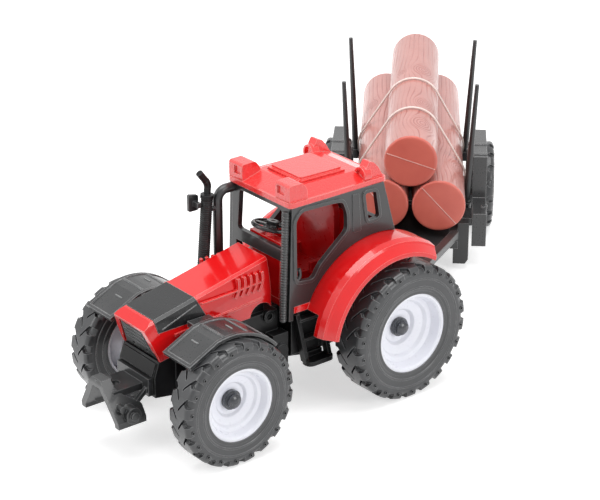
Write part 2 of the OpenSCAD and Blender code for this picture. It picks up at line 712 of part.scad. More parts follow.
// ---------------------------------------------------------------- roof

lip_t = 3;
roof_front_x = cab_roof_x + 1.6;
roof_back_x = cab_back_x - 2.6;
hatch = [cab_roof_x - 15.4, cab_roof_x - 47.9];

module roof_plan(inset) {
    polygon(rounded([
        [roof_front_x - inset, -cab_half - 0.3 + inset], [roof_front_x - inset, cab_half + 0.3 - inset],
        [roof_back_x + inset, cab_half - 0.5 - inset], [roof_back_x + inset, -cab_half + 0.5 + inset]
    ], 2.6));
}

module roof() {
    z = cab_top_z + lip_t;
    color(RED) placed() difference() {
        union() {
            translate([0, 0, cab_top_z]) linear_extrude(lip_t) roof_plan(0);
            hull() {
                translate([0, 0, z - 0.1]) linear_extrude(0.1) roof_plan(1.2);
                translate([0, 0, cab_top_z + roof_rise - 1.6]) linear_extrude(0.1) polygon(rounded([
                    [hatch[0] + 3, -18], [hatch[0] + 3, 18], [roof_back_x + 12, 18], [roof_back_x + 12, -18]
                ], 3));
            }
            both_sides() {
                front_pod(z);
                rear_pod(z);
            }
        }
        translate([0, 0, cab_top_z + roof_rise - 2.6]) linear_extrude(10) hatch_plan(0);
        translate([0, 0, cab_top_z - 1]) linear_extrude(lip_t + 1.4) roof_plan(4.5);
    }
}

// Rounded lamp housing on a front corner of the roof
module front_pod(z) {
    difference() {
        side_on(15, cab_half - 0.8) polygon(rounded([
            [roof_front_x - 0.3, z - 0.4], [roof_front_x - 0.3, z + 9.6], [roof_front_x - 9.6, z + 9.8],
            [roof_front_x - 13, z + 5.4], [roof_front_x - 13, z - 0.4]
        ], 1.6));
        block(roof_front_x - 1.4, roof_front_x + 2, 16.6, 22.4, z + 3.2, z + 7.8);
    }
}

// Fin on a rear corner of the roof, with a round lamp cup in front of it
module rear_pod(z) {
    side_on(20, 26) polygon(rounded([
        [roof_back_x + 14.2, z - 0.4], [roof_back_x + 13.6, z + 7], [roof_back_x + 11.4, z + 10.6],
        [roof_back_x + 8, z + 9.2], [roof_back_x + 4.4, z + 5], [roof_back_x + 1.2, z - 0.4]
    ], 1));
    difference() {
        translate([roof_back_x + 11, 23, z + 2.6]) rotate([0, 90, 0]) cylinder(r = 4.6, h = 5);
        translate([roof_back_x + 14.6, 23, z + 2.6]) rotate([0, 90, 0]) cylinder(r = 3.4, h = 4);
    }
}

module hatch_plan(inset) {
    polygon(rounded([
        [hatch[0] - inset, -15.3 + inset], [hatch[0] - inset, 15.3 - inset],
        [hatch[1] + inset, 16 - inset], [hatch[1] + inset, -16 + inset]
    ], 2));
}

module roof_hatch() {
    color(RED) placed() translate([0, 0, cab_top_z + roof_rise - 2.6]) {
        linear_extrude(2.4) hatch_plan(0.3);
        linear_extrude(3.8) hatch_plan(1.8);
    }
}

// ---------------------------------------------------------------- rear body and cab fittings

module guard_shell() {
    translate([guard_x, 0, guard_z]) rotate([90, 0, 0]) mirror([0, 0, 1])
        rotate_extrude(angle = 114, start = 10, $fn = 120) polygon([
            [guard_r, cab_half - 2], [guard_r, guard_half - 9], [guard_r - 1.2, guard_half - 5.4],
            [guard_r - 2.4, guard_half - 4.6], [guard_lip_r + 1.4, guard_half - 0.3],
            [guard_lip_r, guard_half], [guard_lip_r - 1, guard_half], [guard_lip_r - 1, guard_half - 1.8],
            [guard_lip_r + 0.4, guard_half - 2.1], [guard_r - 4.2, guard_half - 6.2],
            [guard_r - 2, guard_half - 9.6], [guard_r - 2, cab_half - 2]
        ]);
}

module rear_body() {
    color(RED) placed() {
        block(cab_tail_x, cab_x - 3.6, -cab_half, cab_half, chassis_top_z, floor_z);
        block(cab_tail_x, cab_tail_x + 2, -cab_half + 2, cab_half - 2, chassis_top_z, guard_z + 51.3);
        both_sides() {
            side_on(cab_half - 2, cab_half) intersection() {
                translate([guard_x, guard_z]) circle(guard_r, $fn = 120);
                polygon([[cab_tail_x - 16, 58], [cab_tail_x - 16, 100], [cab_x - 8, 100], [cab_x - 8, chassis_top_z],
                    [cab_tail_x, chassis_top_z], [cab_tail_x - 8, 72]]);
            }
            difference() {
                guard_shell();
                block(cab_x - 28, cab_x, cab_half - 8, guard_half - 12, 40, chassis_top_z);
                translate([guard_x, 0, 60]) linear_extrude(60) polygon([
                    [-guard_r, cab_half + 0.1], [-guard_r + 30, cab_half + 0.1],
                    [-guard_r + 23.6, guard_half - 4], [-guard_r, guard_half - 4]
                ]);
            }
        }
    }
}

module seat() {
    back_x = cab_roof_x - 38;
    color(RED) placed() {
        block(back_x - 2, back_x + 17, -9, 9, floor_z, floor_z + 5);
        side_on(-12, 12) polygon(rounded([[back_x, floor_z + 5], [back_x + 21, floor_z + 5],
            [back_x + 22, floor_z + 11], [back_x, floor_z + 9.6]], 1.4));
        translate([back_x, 0, floor_z + 5]) rotate([0, -3, 0]) end_on(-3.4, 0.6)
            polygon(rounded([[-15, 0], [-17, 20], [-15, 43], [15, 43], [17, 20], [15, 0]], 5));
        both_sides() block(back_x, back_x + 14, 12, 14.6, floor_z + 9, floor_z + 16);
    }
}

column = [cab_x - 9, floor_z + 33];

module dashboard() {
    color(RED) placed() {
        side_on(-14, 14) polygon([
            [cab_x - 3.7, floor_z], [cab_x - 5.2, column[1]], [column[0] - 1.5, column[1]],
            [column[0] - 3.5, column[1] - 6], [column[0] - 1, floor_z]
        ]);
        translate([column[0], 0, column[1]]) rotate([0, -steering_tilt, 0]) {
            translate([0, 0, -3]) cylinder(r = 2.6, h = 6);
            cylinder(r = 1.5, h = 7.4);
        }
    }
}

module steering_wheel() {
    color(BLACK) placed() translate([column[0], 0, column[1]]) rotate([0, -steering_tilt, 0])
        translate([0, 0, 3 + side_play]) {
            rotate_extrude($fn = 64) translate([steering_r, 1.4]) circle(1.3, $fn = 24);
            difference() {
                union() {
                    cylinder(r = 3.6, h = 4.6);
                    for (a = [0, 120, 240]) rotate([0, 0, a + 60]) block(2, steering_r, -1.3, 1.3, 0.6, 2.2);
                }
                translate([0, 0, -1]) cylinder(r = 1.5 + axle_play, h = 10);
            }
        }
}

// ---------------------------------------------------------------- steps and tanks

module step(side) {
    top = [cab_x - 3.6, chassis_top_z];
    lean = 12.5;
    color(BLACK) placed() on_side(side) {
        for (x = [top[0] - 1.2, top[0] - 17.6]) translate([x, 0, top[1]]) rotate([0, lean, 0])
            block(-1.2, 1.2, cab_half - 3, cab_half + 1.6, -33, -0.6);
        for (drop = [4, 16.4]) block(top[0] - 18 - drop * 0.2, top[0] - 2 - drop * 0.2, cab_half - 2, cab_half + 2.4,
            top[1] - drop - 1.6, top[1] - drop);
        translate([top[0] - 16.6, cab_half - 4, top[1] - 34]) linear_extrude(2.6)
            polygon(rounded([[-9.4, 0], [9.4, 0], [9.4, 8.6], [-9.4, 8.6]], 4.2, 6));
        block(top[0] - 22, top[0] - 12, cab_half - 5, cab_half - 2.6, top[1] - 34, top[1] - 28.4);
    }
}

module side_tanks() {
    color(BLACK) placed() both_sides() difference() {
        end_on(tank_x[1], tank_x[0]) polygon(rounded([[12.8, 34], [cab_half - 3.2, 34], [cab_half - 3.2, chassis_top_z - 0.2],
            [12.8, chassis_top_z - 0.2]], 2.4));
        block(tank_x[1] - 1, tank_x[0] + 1, 0, 13, 20, 70);
    }
}

// ---------------------------------------------------------------- tow hitch

clevis_gap = eye_t / 2 + fit_gap;
clevis_t = 3;

module tow_bracket() {
    root_x = rear_x - 12;
    color(BLACK) placed() difference() {
        union() {
            for (z = [hitch_z - clevis_gap - clevis_t, hitch_z + clevis_gap]) {
                translate([hitch_x, 0, z]) cylinder(r = 7, h = clevis_t);
                block(hitch_x, root_x, -7, 7, z, z + clevis_t);
            }
            block(hitch_x + 10, root_x, -7, 7, hitch_z - clevis_gap - 1, hitch_z + clevis_gap + 1);
            side_on(-2, 2) polygon([[root_x, hitch_z], [root_x, 52], [hitch_x + 11, hitch_z + clevis_gap + 1]]);
        }
        translate([hitch_x, 0, 10]) cylinder(r = tow_pin_r, h = 50);
    }
}

module tow_pin() {
    low = hitch_z - clevis_gap - clevis_t - 2;
    high = hitch_z + clevis_gap + clevis_t;
    color(BLACK) placed() translate([hitch_x, 0, 0]) {
        translate([0, 0, low]) cylinder(r = tow_pin_r, h = high - low);
        translate([0, 0, high]) cylinder(r = 4.4, h = 2);
        translate([0, 0, high + 2]) cylinder(r = 2, h = 5);
        translate([0, 0, high + 7]) cylinder(r = 3.2, h = 1.6);
    }
}

// ---------------------------------------------------------------- trailer frame

beam_t = 4.6;
beam_top = hitch_z + beam_t / 2;
yoke_s = 16;
yoke_end_s = 98;
rail_top_z = beam_top - beam_t;
rail_low_z = rail_top_z - 5.2;
bed_t = 1.8;
bunk_w = 6;
stake_v = rail_half + 7.9;
socket_r = 3.8;
bunk_half = stake_v + 1;

module drawbar_eye() {
    color(BLACK) towed() difference() {
        union() {
            translate([0, 0, hitch_z - eye_t / 2]) cylinder(r = eye_r, h = eye_t);
            block(-yoke_s, 0, -3.6, 3.6, hitch_z - eye_t / 2, hitch_z + eye_t / 2);
            translate([0, 0, hitch_z - eye_t / 2]) linear_extrude(eye_t)
                polygon([[-yoke_s, -3.6], [-yoke_s, 3.6], [-yoke_s - 9, 7], [-yoke_s - 9, -7]]);
        }
        translate([0, 0, 0]) cylinder(r = tow_pin_r + tow_play, h = 60);
    }
}

module drawbar(side) {
    start = [-yoke_s - 9, 4.2];
    end = [-yoke_end_s, rail_half];
    run = end - start;
    color(BLACK) towed() on_side(side) translate([0, 0, beam_top - beam_t]) linear_extrude(beam_t) polygon([
        start + [0, -2.4], end + [0, -2.8], end + [-3, -2.8], end + [-3, 2.8], end + [0, 2.8], start + [0, 2.8]
    ]);
}

module side_rails() {
    color(BLACK) towed() both_sides()
        block(-rear_bunk_s - 6, -yoke_end_s + 4, rail_half - rail_w / 2, rail_half + rail_w / 2, rail_low_z, rail_top_z);
}

// Sheet between the drawbar's arms and the rails, under the load
module bed_plate() {
    inner = rail_half - rail_w / 2;
    color(BLACK) towed() translate([0, 0, rail_top_z - bed_t]) linear_extrude(bed_t) polygon([
        [-yoke_s - 14, -5], [-yoke_end_s, -inner], [-rear_bunk_s - 3, -inner],
        [-rear_bunk_s - 3, inner], [-yoke_end_s, inner], [-yoke_s - 14, 5]
    ]);
}

module bunk(s) {
    color(BLACK) towed() difference() {
        union() {
            block(-s - bunk_w / 2, -s + bunk_w / 2, -bunk_half, bunk_half, rail_top_z, bunk_z);
            both_sides() translate([-s, stake_v, rail_top_z]) cylinder(r = socket_r, h = bunk_z - rail_top_z + 2);
        }
        both_sides() stake_form(s, 0);
    }
}

module front_bunk() { bunk(front_bunk_s); }
module rear_bunk() { bunk(rear_bunk_s); }

// A tapered stake, leaning outwards from its socket
module stake_form(s, grow) {
    height = (stake_top_z - beam_top) / cos(stake_lean);
    translate([-s, stake_v, rail_top_z + 1]) rotate([-stake_lean, 0, 0])
        cylinder(r1 = 2.4 + grow, r2 = 1.4 + grow, h = height + beam_t - 1);
}

module stakes() {
    color(BLACK) towed() both_sides() for (s = [front_bunk_s, rear_bunk_s]) stake_form(s, 0);
}

module parking_legs() {
    color(BLACK) towed() both_sides() end_on(-123.6, -115.8) polygon([
        [rail_half, 4], [rail_half + 8, 4], [rail_half + 10, 7], [rail_half + 10, beam_top - 1],
        [rail_half + rail_w / 2, beam_top - 1], [rail_half + rail_w / 2, rail_low_z], [rail_half, rail_low_z]
    ]);
}

module trailer_axle() {
    beam_end = trailer_half_track - trailer_tyre_w - 0.1;
    drop_in = rail_half + rail_w / 2 + 0.3;
    end = trailer_half_track - rim_inset - dish(trailer_tyre_w) + side_play + cap_t + 1.4;
    s = trailer_axle_s;
    color(BLACK) towed() {
        block(-s - 5, -s + 5, -beam_end, beam_end, rail_top_z, trailer_tyre_r + 3.6);
        both_sides() {
            block(-s - 5, -s + 5, drop_in, beam_end, trailer_tyre_r - 5, trailer_tyre_r + 3);
            rod_y(-s, trailer_tyre_r, axle_r, drop_in + 1, end);
        }
    }
}

module trailer_mudguards() {
    t = 1.8;
    s = trailer_axle_s;
    top = trailer_tyre_r * 2 + 7;
    step_z = 38;
    out = trailer_half_track - 5.6;
    in = stake_v + socket_r + 0.3;
    skin = [[77, 15], [77, step_z], [48, step_z], [45, top], [-9, top], [-35, 46], [-37, 36]];
    color(BLACK) towed() both_sides() {
        side_on(in, out) polygon(concat(
            [for (p = skin) [-s + p[0], p[1]]],
            [[-s - 35.2, 36], [-s - 33.4, 45.2], [-s - 8.2, top - t], [-s + 43.4, top - t],
             [-s + 46.4, step_z - t], [-s + 77 - t, step_z - t], [-s + 77 - t, 15]]));
        for (x = [40, 20.5]) block(-s + x - 1.2, -s + x + 1.2, in, out, top - 0.5, top + 0.7);
        block(-s + 55, -s + 73, rail_half - rail_w / 2, in + 2, rail_top_z, rail_top_z + 4);
        block(-s + 55, -s + 73, in, in + 2, rail_top_z, step_z - 1);
        block(-s + 62, -s + 66, in + 6, in + 10, step_z - 0.5, step_z + 0.8);
    }
}

// ---------------------------------------------------------------- logs

module along_log(i) {
    l = LOGS[i];
    towed() translate([-log_front_s, l[0], l[1]]) rotate([0, l[3], -l[2]]) rotate([0, -90, 0]) children();
}

// Side offset and height of a log's axis at a distance behind the tow pin
function log_at(i, s) = [LOGS[i][0] + (s - log_front_s) * tan(LOGS[i][2]), LOGS[i][1] + (s - log_front_s) * tan(LOGS[i][3])];

module log_half(half) {
    seam = 0.12;
    difference() {
        rotate_extrude($fn = 90) polygon([
            [0, 0.7], [log_r - 1.9, 0.7], [log_r - 1.6, 0], [log_r - 0.8, 0], [log_r, 0.9],
            [log_r, log_len - 0.9], [log_r - 0.8, log_len], [log_r - 1.6, log_len],
            [log_r - 1.9, log_len - 0.7], [0, log_len - 0.7]
        ]);
        translate([0, 0, log_wall + 1]) cylinder(r = log_r - log_wall, h = log_len - 2 * log_wall - 2, $fn = 90);
        translate([-30, half > 0 ? -60 + seam : -seam, -1]) cube([60, 60, log_len + 2]);
    }
}

module log(i) {
    color(WOOD) along_log(i) rotate([0, 0, LOGS[i][4]]) for (half = [1, -1]) log_half(half);
}

module log_top() { log(0); }
module log_left() { log(1); }
module log_right() { log(2); }

module band_outline(s, grow) {
    hull() for (i = [0:2]) translate(log_at(i, s)) circle(log_r + 0.1 + grow, $fn = 60);
}

module tie_bands() {
    color(CLEAR) towed() for (s = band_s) end_on(-s - band_d / 2, -s + band_d / 2) difference() {
        band_outline(s, band_d);
        band_outline(s, 0);
    }
}

// ---------------------------------------------------------------- the nodes

chassis();
front_axle_rod();
rear_axle_rod();
tyre_front(1);  // tyre_front_left
tyre_front(-1);  // tyre_front_right
tyre_rear(1);  // tyre_rear_left
tyre_rear(-1);  // tyre_rear_right
rim_front(1);  // rim_front_left
rim_front(-1);  // rim_front_right
rim_rear(1);  // rim_rear_left
rim_rear(-1);  // rim_rear_right
front_hub_caps();
rear_hub_caps();
front_mudguard(1);  // front_mudguard_left
front_mudguard(-1);  // front_mudguard_right
bonnet();
bonnet_insert();
grille();
nose_block();
front_coupler();
exhaust();
side_mirror();
intake_tube();
pillar_hose();
cab_side(1);  // cab_side_left
cab_side(-1);  // cab_side_right
cab_front_frame();
cab_rear_frame();
roof();
roof_hatch();
rear_body();
seat();
dashboard();
steering_wheel();
step(1);  // step_left
step(-1);  // step_right
side_tanks();
tow_bracket();
tow_pin();
drawbar(1);  // drawbar_left
drawbar(-1);  // drawbar_right
drawbar_eye();
side_rails();
bed_plate();
front_bunk();
rear_bunk();
stakes();
parking_legs();
trailer_axle();
trailer_hub_caps();
tyre_trailer(1);  // tyre_trailer_left
tyre_trailer(-1);  // tyre_trailer_right
rim_trailer(1);  // rim_trailer_left
rim_trailer(-1);  // rim_trailer_right
trailer_mudguards();
log_top();
log_left();
log_right();
tie_bands();
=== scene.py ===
"""Toy tractor with a log trailer: finishes, fine detail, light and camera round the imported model."""

import math
import random

import bmesh
import bpy
from mathutils import Matrix, Vector
from mathutils.bvhtree import BVHTree
from mathutils.geometry import convex_hull_2d


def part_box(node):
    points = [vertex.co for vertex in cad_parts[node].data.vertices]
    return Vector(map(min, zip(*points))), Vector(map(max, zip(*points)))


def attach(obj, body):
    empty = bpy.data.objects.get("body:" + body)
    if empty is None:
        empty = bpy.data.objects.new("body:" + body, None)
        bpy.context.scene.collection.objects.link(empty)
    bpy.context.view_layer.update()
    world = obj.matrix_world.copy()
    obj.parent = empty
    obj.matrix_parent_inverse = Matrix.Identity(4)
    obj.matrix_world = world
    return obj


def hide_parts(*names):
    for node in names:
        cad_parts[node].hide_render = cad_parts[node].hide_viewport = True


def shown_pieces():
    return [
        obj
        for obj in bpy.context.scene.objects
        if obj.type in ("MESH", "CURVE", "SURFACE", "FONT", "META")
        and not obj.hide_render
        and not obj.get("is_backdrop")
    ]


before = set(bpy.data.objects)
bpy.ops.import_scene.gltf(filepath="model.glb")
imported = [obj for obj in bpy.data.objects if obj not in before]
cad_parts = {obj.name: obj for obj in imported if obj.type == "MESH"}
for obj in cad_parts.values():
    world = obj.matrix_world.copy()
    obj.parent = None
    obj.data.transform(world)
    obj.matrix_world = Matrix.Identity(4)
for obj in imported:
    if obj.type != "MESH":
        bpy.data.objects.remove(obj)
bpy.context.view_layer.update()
MM = 0.001

# ------------------------------ image points

IMAGE_W, IMAGE_H = 600, 500
IMAGE_LONG = max(IMAGE_W, IMAGE_H)
OBJECT_EDGES = {"left_x": 72, "right_x": 498, "top_y": 34, "bottom_y": 467}
IMAGE_POINTS = {
    "front_rim_left": (240.8, 405.6),
    "rear_rim_left": (411.5, 334.0),
    "roof_front_right": (229.5, 177.3),
    "roof_front_left": (291.1, 207.7),
    "roof_rear_left": (384.8, 180.9),
    "stake_front_left": (477.0, 84.6),
    "stake_front_right": (343.4, 82.6),
    "knot_near": (423.0, 123.0),
    "knot_middle": (424.5, 103.0),
    "knot_far": (424.0, 70.0),
    "knot_low_log": (459.0, 170.0),
    "guard_rib_left_front": (195.0, 342.0),
    "guard_rib_left_rear": (229.0, 327.0),
    "insert_crease_rear": (196.6, 305.0),
    "insert_crease_front": (162.5, 330.0),
    "seam_top_log_start": (385.5, 153.0),
    "seam_top_log_end": (436.0, 170.0),
    "seam_low_log_start": (424.5, 190.5),
    "seam_low_log_end": (458.0, 226.0),
    "seam_far_log": (394.0, 225.0),
}

# ------------------------------ where things are


def middle_of(node):
    """The middle of a CAD node's box."""
    low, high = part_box(node)
    return (Vector(low) + Vector(high)) / 2


def node_points(node):
    """Every corner of a CAD node's mesh."""
    return [v.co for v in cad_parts[node].data.vertices]


def new_object(name, data):
    """A new object at the origin, in the scene."""
    item = bpy.data.objects.new(name, data)
    bpy.context.scene.collection.objects.link(item)
    return item


FRONT_AXLE = middle_of("front_axle_rod")
UP = Vector((0, 0, 1))
TRACTOR_FRONT = Vector((1, 0, 0))
TRACTOR_LEFT = Vector((0, 1, 0))
TRACTOR_MIDDLE = middle_of("bonnet").y
PIN_TO_TRAILER_AXLE = middle_of("trailer_axle") - middle_of("tow_pin")
TRAILER_BACK = Vector((PIN_TO_TRAILER_AXLE.x, PIN_TO_TRAILER_AXLE.y, 0)).normalized()
TRAILER_LEFT = TRAILER_BACK.cross(UP)

# ------------------------------ camera

# From the front axle's middle, in metres; angles in degrees, lens and sensor in mm
CAMERA_FROM_AXLE = Vector((0.5251, 0.7701, 0.4730))
CAMERA_PLACE = FRONT_AXLE + CAMERA_FROM_AXLE
CAMERA_AZIMUTH = 141.647
CAMERA_ELEVATION = 23.402
CAMERA_ROLL = 0.021
CAMERA_LENS = 113.452
SENSOR_WIDTH = 36.0
CAMERA_SHIFT_X = 0.0
CAMERA_SHIFT_Y = 0.0
CAMERA_CLIP = (0.05, 20.0)
LENS_PIXELS = IMAGE_LONG * CAMERA_LENS / SENSOR_WIDTH


def camera_axes(azimuth, elevation, roll):
    """The camera's right, up and back directions."""
    a, e, r = (math.radians(x) for x in (azimuth, elevation, roll))
    back = Vector((math.sin(a) * math.cos(e), -math.cos(a) * math.cos(e), math.sin(e)))
    right = Vector((math.cos(a), math.sin(a), 0))
    up = back.cross(right)
    return right * math.cos(r) + up * math.sin(r), up * math.cos(r) - right * math.sin(r), back


def make_camera():
    """The camera at the photograph's viewing angle."""
    data = bpy.data.cameras.new("photo_camera")
    data.sensor_fit = "AUTO"
    data.sensor_width = SENSOR_WIDTH
    data.lens = CAMERA_LENS
    data.shift_x = CAMERA_SHIFT_X
    data.shift_y = CAMERA_SHIFT_Y
    data.clip_start, data.clip_end = CAMERA_CLIP
    camera = new_object("photo_camera", data)
    right, up, back = camera_axes(CAMERA_AZIMUTH, CAMERA_ELEVATION, CAMERA_ROLL)
    turn = Matrix((right, up, back)).transposed().to_4x4()
    camera.matrix_world = Matrix.Translation(CAMERA_PLACE) @ turn
    bpy.context.scene.camera = camera
    bpy.context.view_layer.update()
    return camera


CAMERA_TURN = make_camera().matrix_world.to_3x3()


def sight_line(point):
    """The direction in which the camera sees an image point."""
    x, y = point
    across = x - IMAGE_W / 2 + CAMERA_SHIFT_X * IMAGE_LONG
    up = IMAGE_H / 2 - y + CAMERA_SHIFT_Y * IMAGE_LONG
    return (CAMERA_TURN @ Vector((across, up, -LENS_PIXELS))).normalized()


def shown_at(place):
    """The image point at which the camera sees a place."""
    x, y, z = CAMERA_TURN.transposed() @ (Vector(place) - CAMERA_PLACE)
    return (
        IMAGE_W / 2 - CAMERA_SHIFT_X * IMAGE_LONG - x * LENS_PIXELS / z,
        IMAGE_H / 2 + CAMERA_SHIFT_Y * IMAGE_LONG + y * LENS_PIXELS / z,
    )


added_places = {}


def place_on(node, name):
    """Where the camera sees a named image point on a CAD node, and the way out of the node there."""
    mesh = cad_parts[node].data
    line = sight_line(IMAGE_POINTS[name])
    carrier = BVHTree.FromPolygons([v.co for v in mesh.vertices], [p.vertices for p in mesh.polygons])
    place, normal, _, _ = carrier.ray_cast(CAMERA_PLACE, line)
    if place is None:
        nearest = min(mesh.vertices, key=lambda v: (v.co - CAMERA_PLACE).cross(line).length)
        place, normal = nearest.co.copy(), nearest.normal.copy()
    added_places[name] = place
    return place, normal if normal.dot(line) < 0 else -normal


# ------------------------------ colours


def srgb(red, green, blue):
    """A colour written as it should look, 0 to 255, in the numbers that the shaders take."""
    out = []
    for c in (red, green, blue):
        c /= 255
        out.append(c / 12.92 if c <= 0.04045 else ((c + 0.055) / 1.055) ** 2.4)
    return (*out, 1.0)


# ------------------------------ nodes

FLOAT = "NodeSocketFloat"
VECTOR = "NodeSocketVector"
NOISE_ROUGHNESS = 0.55


def feed(tree, socket, value):
    """Gives a socket a value, or links another node's socket to it."""
    if isinstance(value, bpy.types.NodeSocket):
        tree.links.new(value, socket)
    else:
        socket.default_value = value


def add_node(tree, kind, inputs=None, **settings):
    """A node with its settings and inputs, each input a value or another node's socket."""
    node = tree.nodes.new(kind)
    for label, value in settings.items():
        setattr(node, label, value)
    for label, value in (inputs or {}).items():
        feed(tree, node.inputs[label], value)
    return node


def new_group(name, inputs, outputs, kind="ShaderNodeTree"):
    """An empty node group with named sockets: {name: default} in, {name: type} out."""
    tree = bpy.data.node_groups.new(name, kind)
    for label, value in inputs.items():
        tree.interface.new_socket(label, in_out="INPUT", socket_type=FLOAT).default_value = value
    for label, socket_type in outputs.items():
        tree.interface.new_socket(label, in_out="OUTPUT", socket_type=socket_type)
    return tree, tree.nodes.new("NodeGroupInput").outputs, tree.nodes.new("NodeGroupOutput").inputs


def math_node(tree, operation, a, b=None, clamp=False):
    """The result of a Math node on one or two values or sockets."""
    values = {0: a} if b is None else {0: a, 1: b}
    return add_node(tree, "ShaderNodeMath", values, operation=operation, use_clamp=clamp).outputs[0]


def product(tree, value, *others):
    """Some values or sockets multiplied together."""
    for other in others:
        value = math_node(tree, "MULTIPLY", value, other)
    return value


def noise(tree, position, scale, detail=3.0):
    """Soft noise, 0 to 1, over a position."""
    return add_node(tree, "ShaderNodeTexNoise", {
        "Vector": position, "Scale": scale, "Detail": detail, "Roughness": NOISE_ROUGHNESS,
    }).outputs["Fac"]


def ramp(tree, value, low, high, to_low=0.0, to_high=1.0, shape="LINEAR"):
    """A value taken from low..high to to_low..to_high, clamped."""
    return add_node(tree, "ShaderNodeMapRange", {
        "Value": value, "From Min": low, "From Max": high, "To Min": to_low, "To Max": to_high,
    }, interpolation_type=shape).outputs["Result"]


def mix_colour(tree, amount, a, b):
    """a blended towards b by amount. a and b are colours or sockets."""
    node = add_node(tree, "ShaderNodeMix", {"Factor": amount}, data_type="RGBA")
    for socket, value in zip([s for s in node.inputs if s.type == "RGBA"], (a, b)):
        feed(tree, socket, value)
    return [s for s in node.outputs if s.type == "RGBA"][0]


def object_position(tree):
    """The place of each point in the shared frame."""
    return tree.nodes.new("ShaderNodeTexCoord").outputs["Object"]


def seen_directly(tree):
    """1 for rays that show a surface or the world as it is: from the camera, in gloss, through glass."""
    rays = tree.nodes.new("ShaderNodeLightPath").outputs
    seen = math_node(tree, "MAXIMUM", rays["Is Camera Ray"], rays["Is Glossy Ray"])
    return math_node(tree, "MAXIMUM", seen, rays["Is Transmission Ray"])


# ------------------------------ painted edge highlight and wear, grain and dust

# How far the rounded normal leaves the true one where an edge starts to be painted pale as highlight and
# wear, and where it is fully pale
EDGE_HIGHLIGHT_TURN = (0.004, 0.09)
# Pairs are the values of a noise, or of a slope, between which a mask goes from 0 to 1
EDGE_PATCH_NOISE_SCALE = 140.0
EDGE_PATCH_NOISE = (0.35, 0.62)
MOULD_MIDDLE = (0.3, 0.7)
DUST_SLOPE = (0.1, 0.9)
DUST_PATCH = (0.38, 0.66)


def edge_wear_and_highlight_group():
    """Where an edge is painted pale, a painted highlight with patches like wear: a mask from how far the
    rounded normal leaves the true one.
    """
    inputs = {"Radius": 0.8 * MM, "Patchiness": 0.5}
    tree, given, result = new_group("edge_wear_and_highlight", inputs, {"Mask": FLOAT, "Normal": VECTOR})
    soft = add_node(tree, "ShaderNodeBevel", {"Radius": given["Radius"]}, samples=6)
    true = tree.nodes.new("ShaderNodeNewGeometry")
    dot = add_node(tree, "ShaderNodeVectorMath", {
        0: soft.outputs["Normal"], 1: true.outputs["Normal"],
    }, operation="DOT_PRODUCT")
    edge = ramp(tree, math_node(tree, "SUBTRACT", 1.0, dot.outputs["Value"]), *EDGE_HIGHLIGHT_TURN)
    patch = ramp(tree, noise(tree, object_position(tree), EDGE_PATCH_NOISE_SCALE), *EDGE_PATCH_NOISE)
    fade = math_node(tree, "SUBTRACT", 1.0, given["Patchiness"])
    keep = math_node(tree, "MAXIMUM", patch, fade)
    # the mask where edges are painted pale: painted highlight, in patches like wear
    feed(tree, result["Mask"], math_node(tree, "MULTIPLY", edge, keep, clamp=True))
    feed(tree, result["Normal"], soft.outputs["Normal"])
    return tree


def moulding_group():
    """The fine unevenness of moulded plastic: a height for bump, and slow and fine masks."""
    tree, given, result = new_group(
        "moulding", {"Grain Scale": 1400.0, "Wave Scale": 45.0, "Wave": 0.5},
        {"Height": FLOAT, "Slow": FLOAT, "Fine": FLOAT},
    )
    place = object_position(tree)
    fine = noise(tree, place, given["Grain Scale"], 2.0)
    slow = noise(tree, place, given["Wave Scale"])
    wave = product(tree, slow, given["Wave"])
    feed(tree, result["Height"], math_node(tree, "ADD", fine, wave))
    feed(tree, result["Slow"], ramp(tree, slow, *MOULD_MIDDLE))
    feed(tree, result["Fine"], ramp(tree, fine, *MOULD_MIDDLE))
    return tree


def dust_group():
    """A thin film of dust on faces that look up, in patches."""
    tree, given, result = new_group("dust", {"Amount": 0.2, "Scale": 60.0}, {"Mask": FLOAT})
    normal = tree.nodes.new("ShaderNodeNewGeometry").outputs["Normal"]
    split = add_node(tree, "ShaderNodeSeparateXYZ", {0: normal})
    up = ramp(tree, split.outputs["Z"], *DUST_SLOPE)
    patch = ramp(tree, noise(tree, object_position(tree), given["Scale"], 5.0), *DUST_PATCH)
    feed(tree, result["Mask"], product(tree, up, patch, given["Amount"]))
    return tree


EDGE_WEAR_AND_HIGHLIGHT = edge_wear_and_highlight_group()
MOULDING = moulding_group()
DUST = dust_group()

# ------------------------------ materials

# How far the fine grain moves the roughness down and up, and how deep its bump is
GLOSS_SWING = (-0.04, 0.05)
BUMP_DEPTH = 0.4 * MM
COAT_ROUGHNESS = 0.08


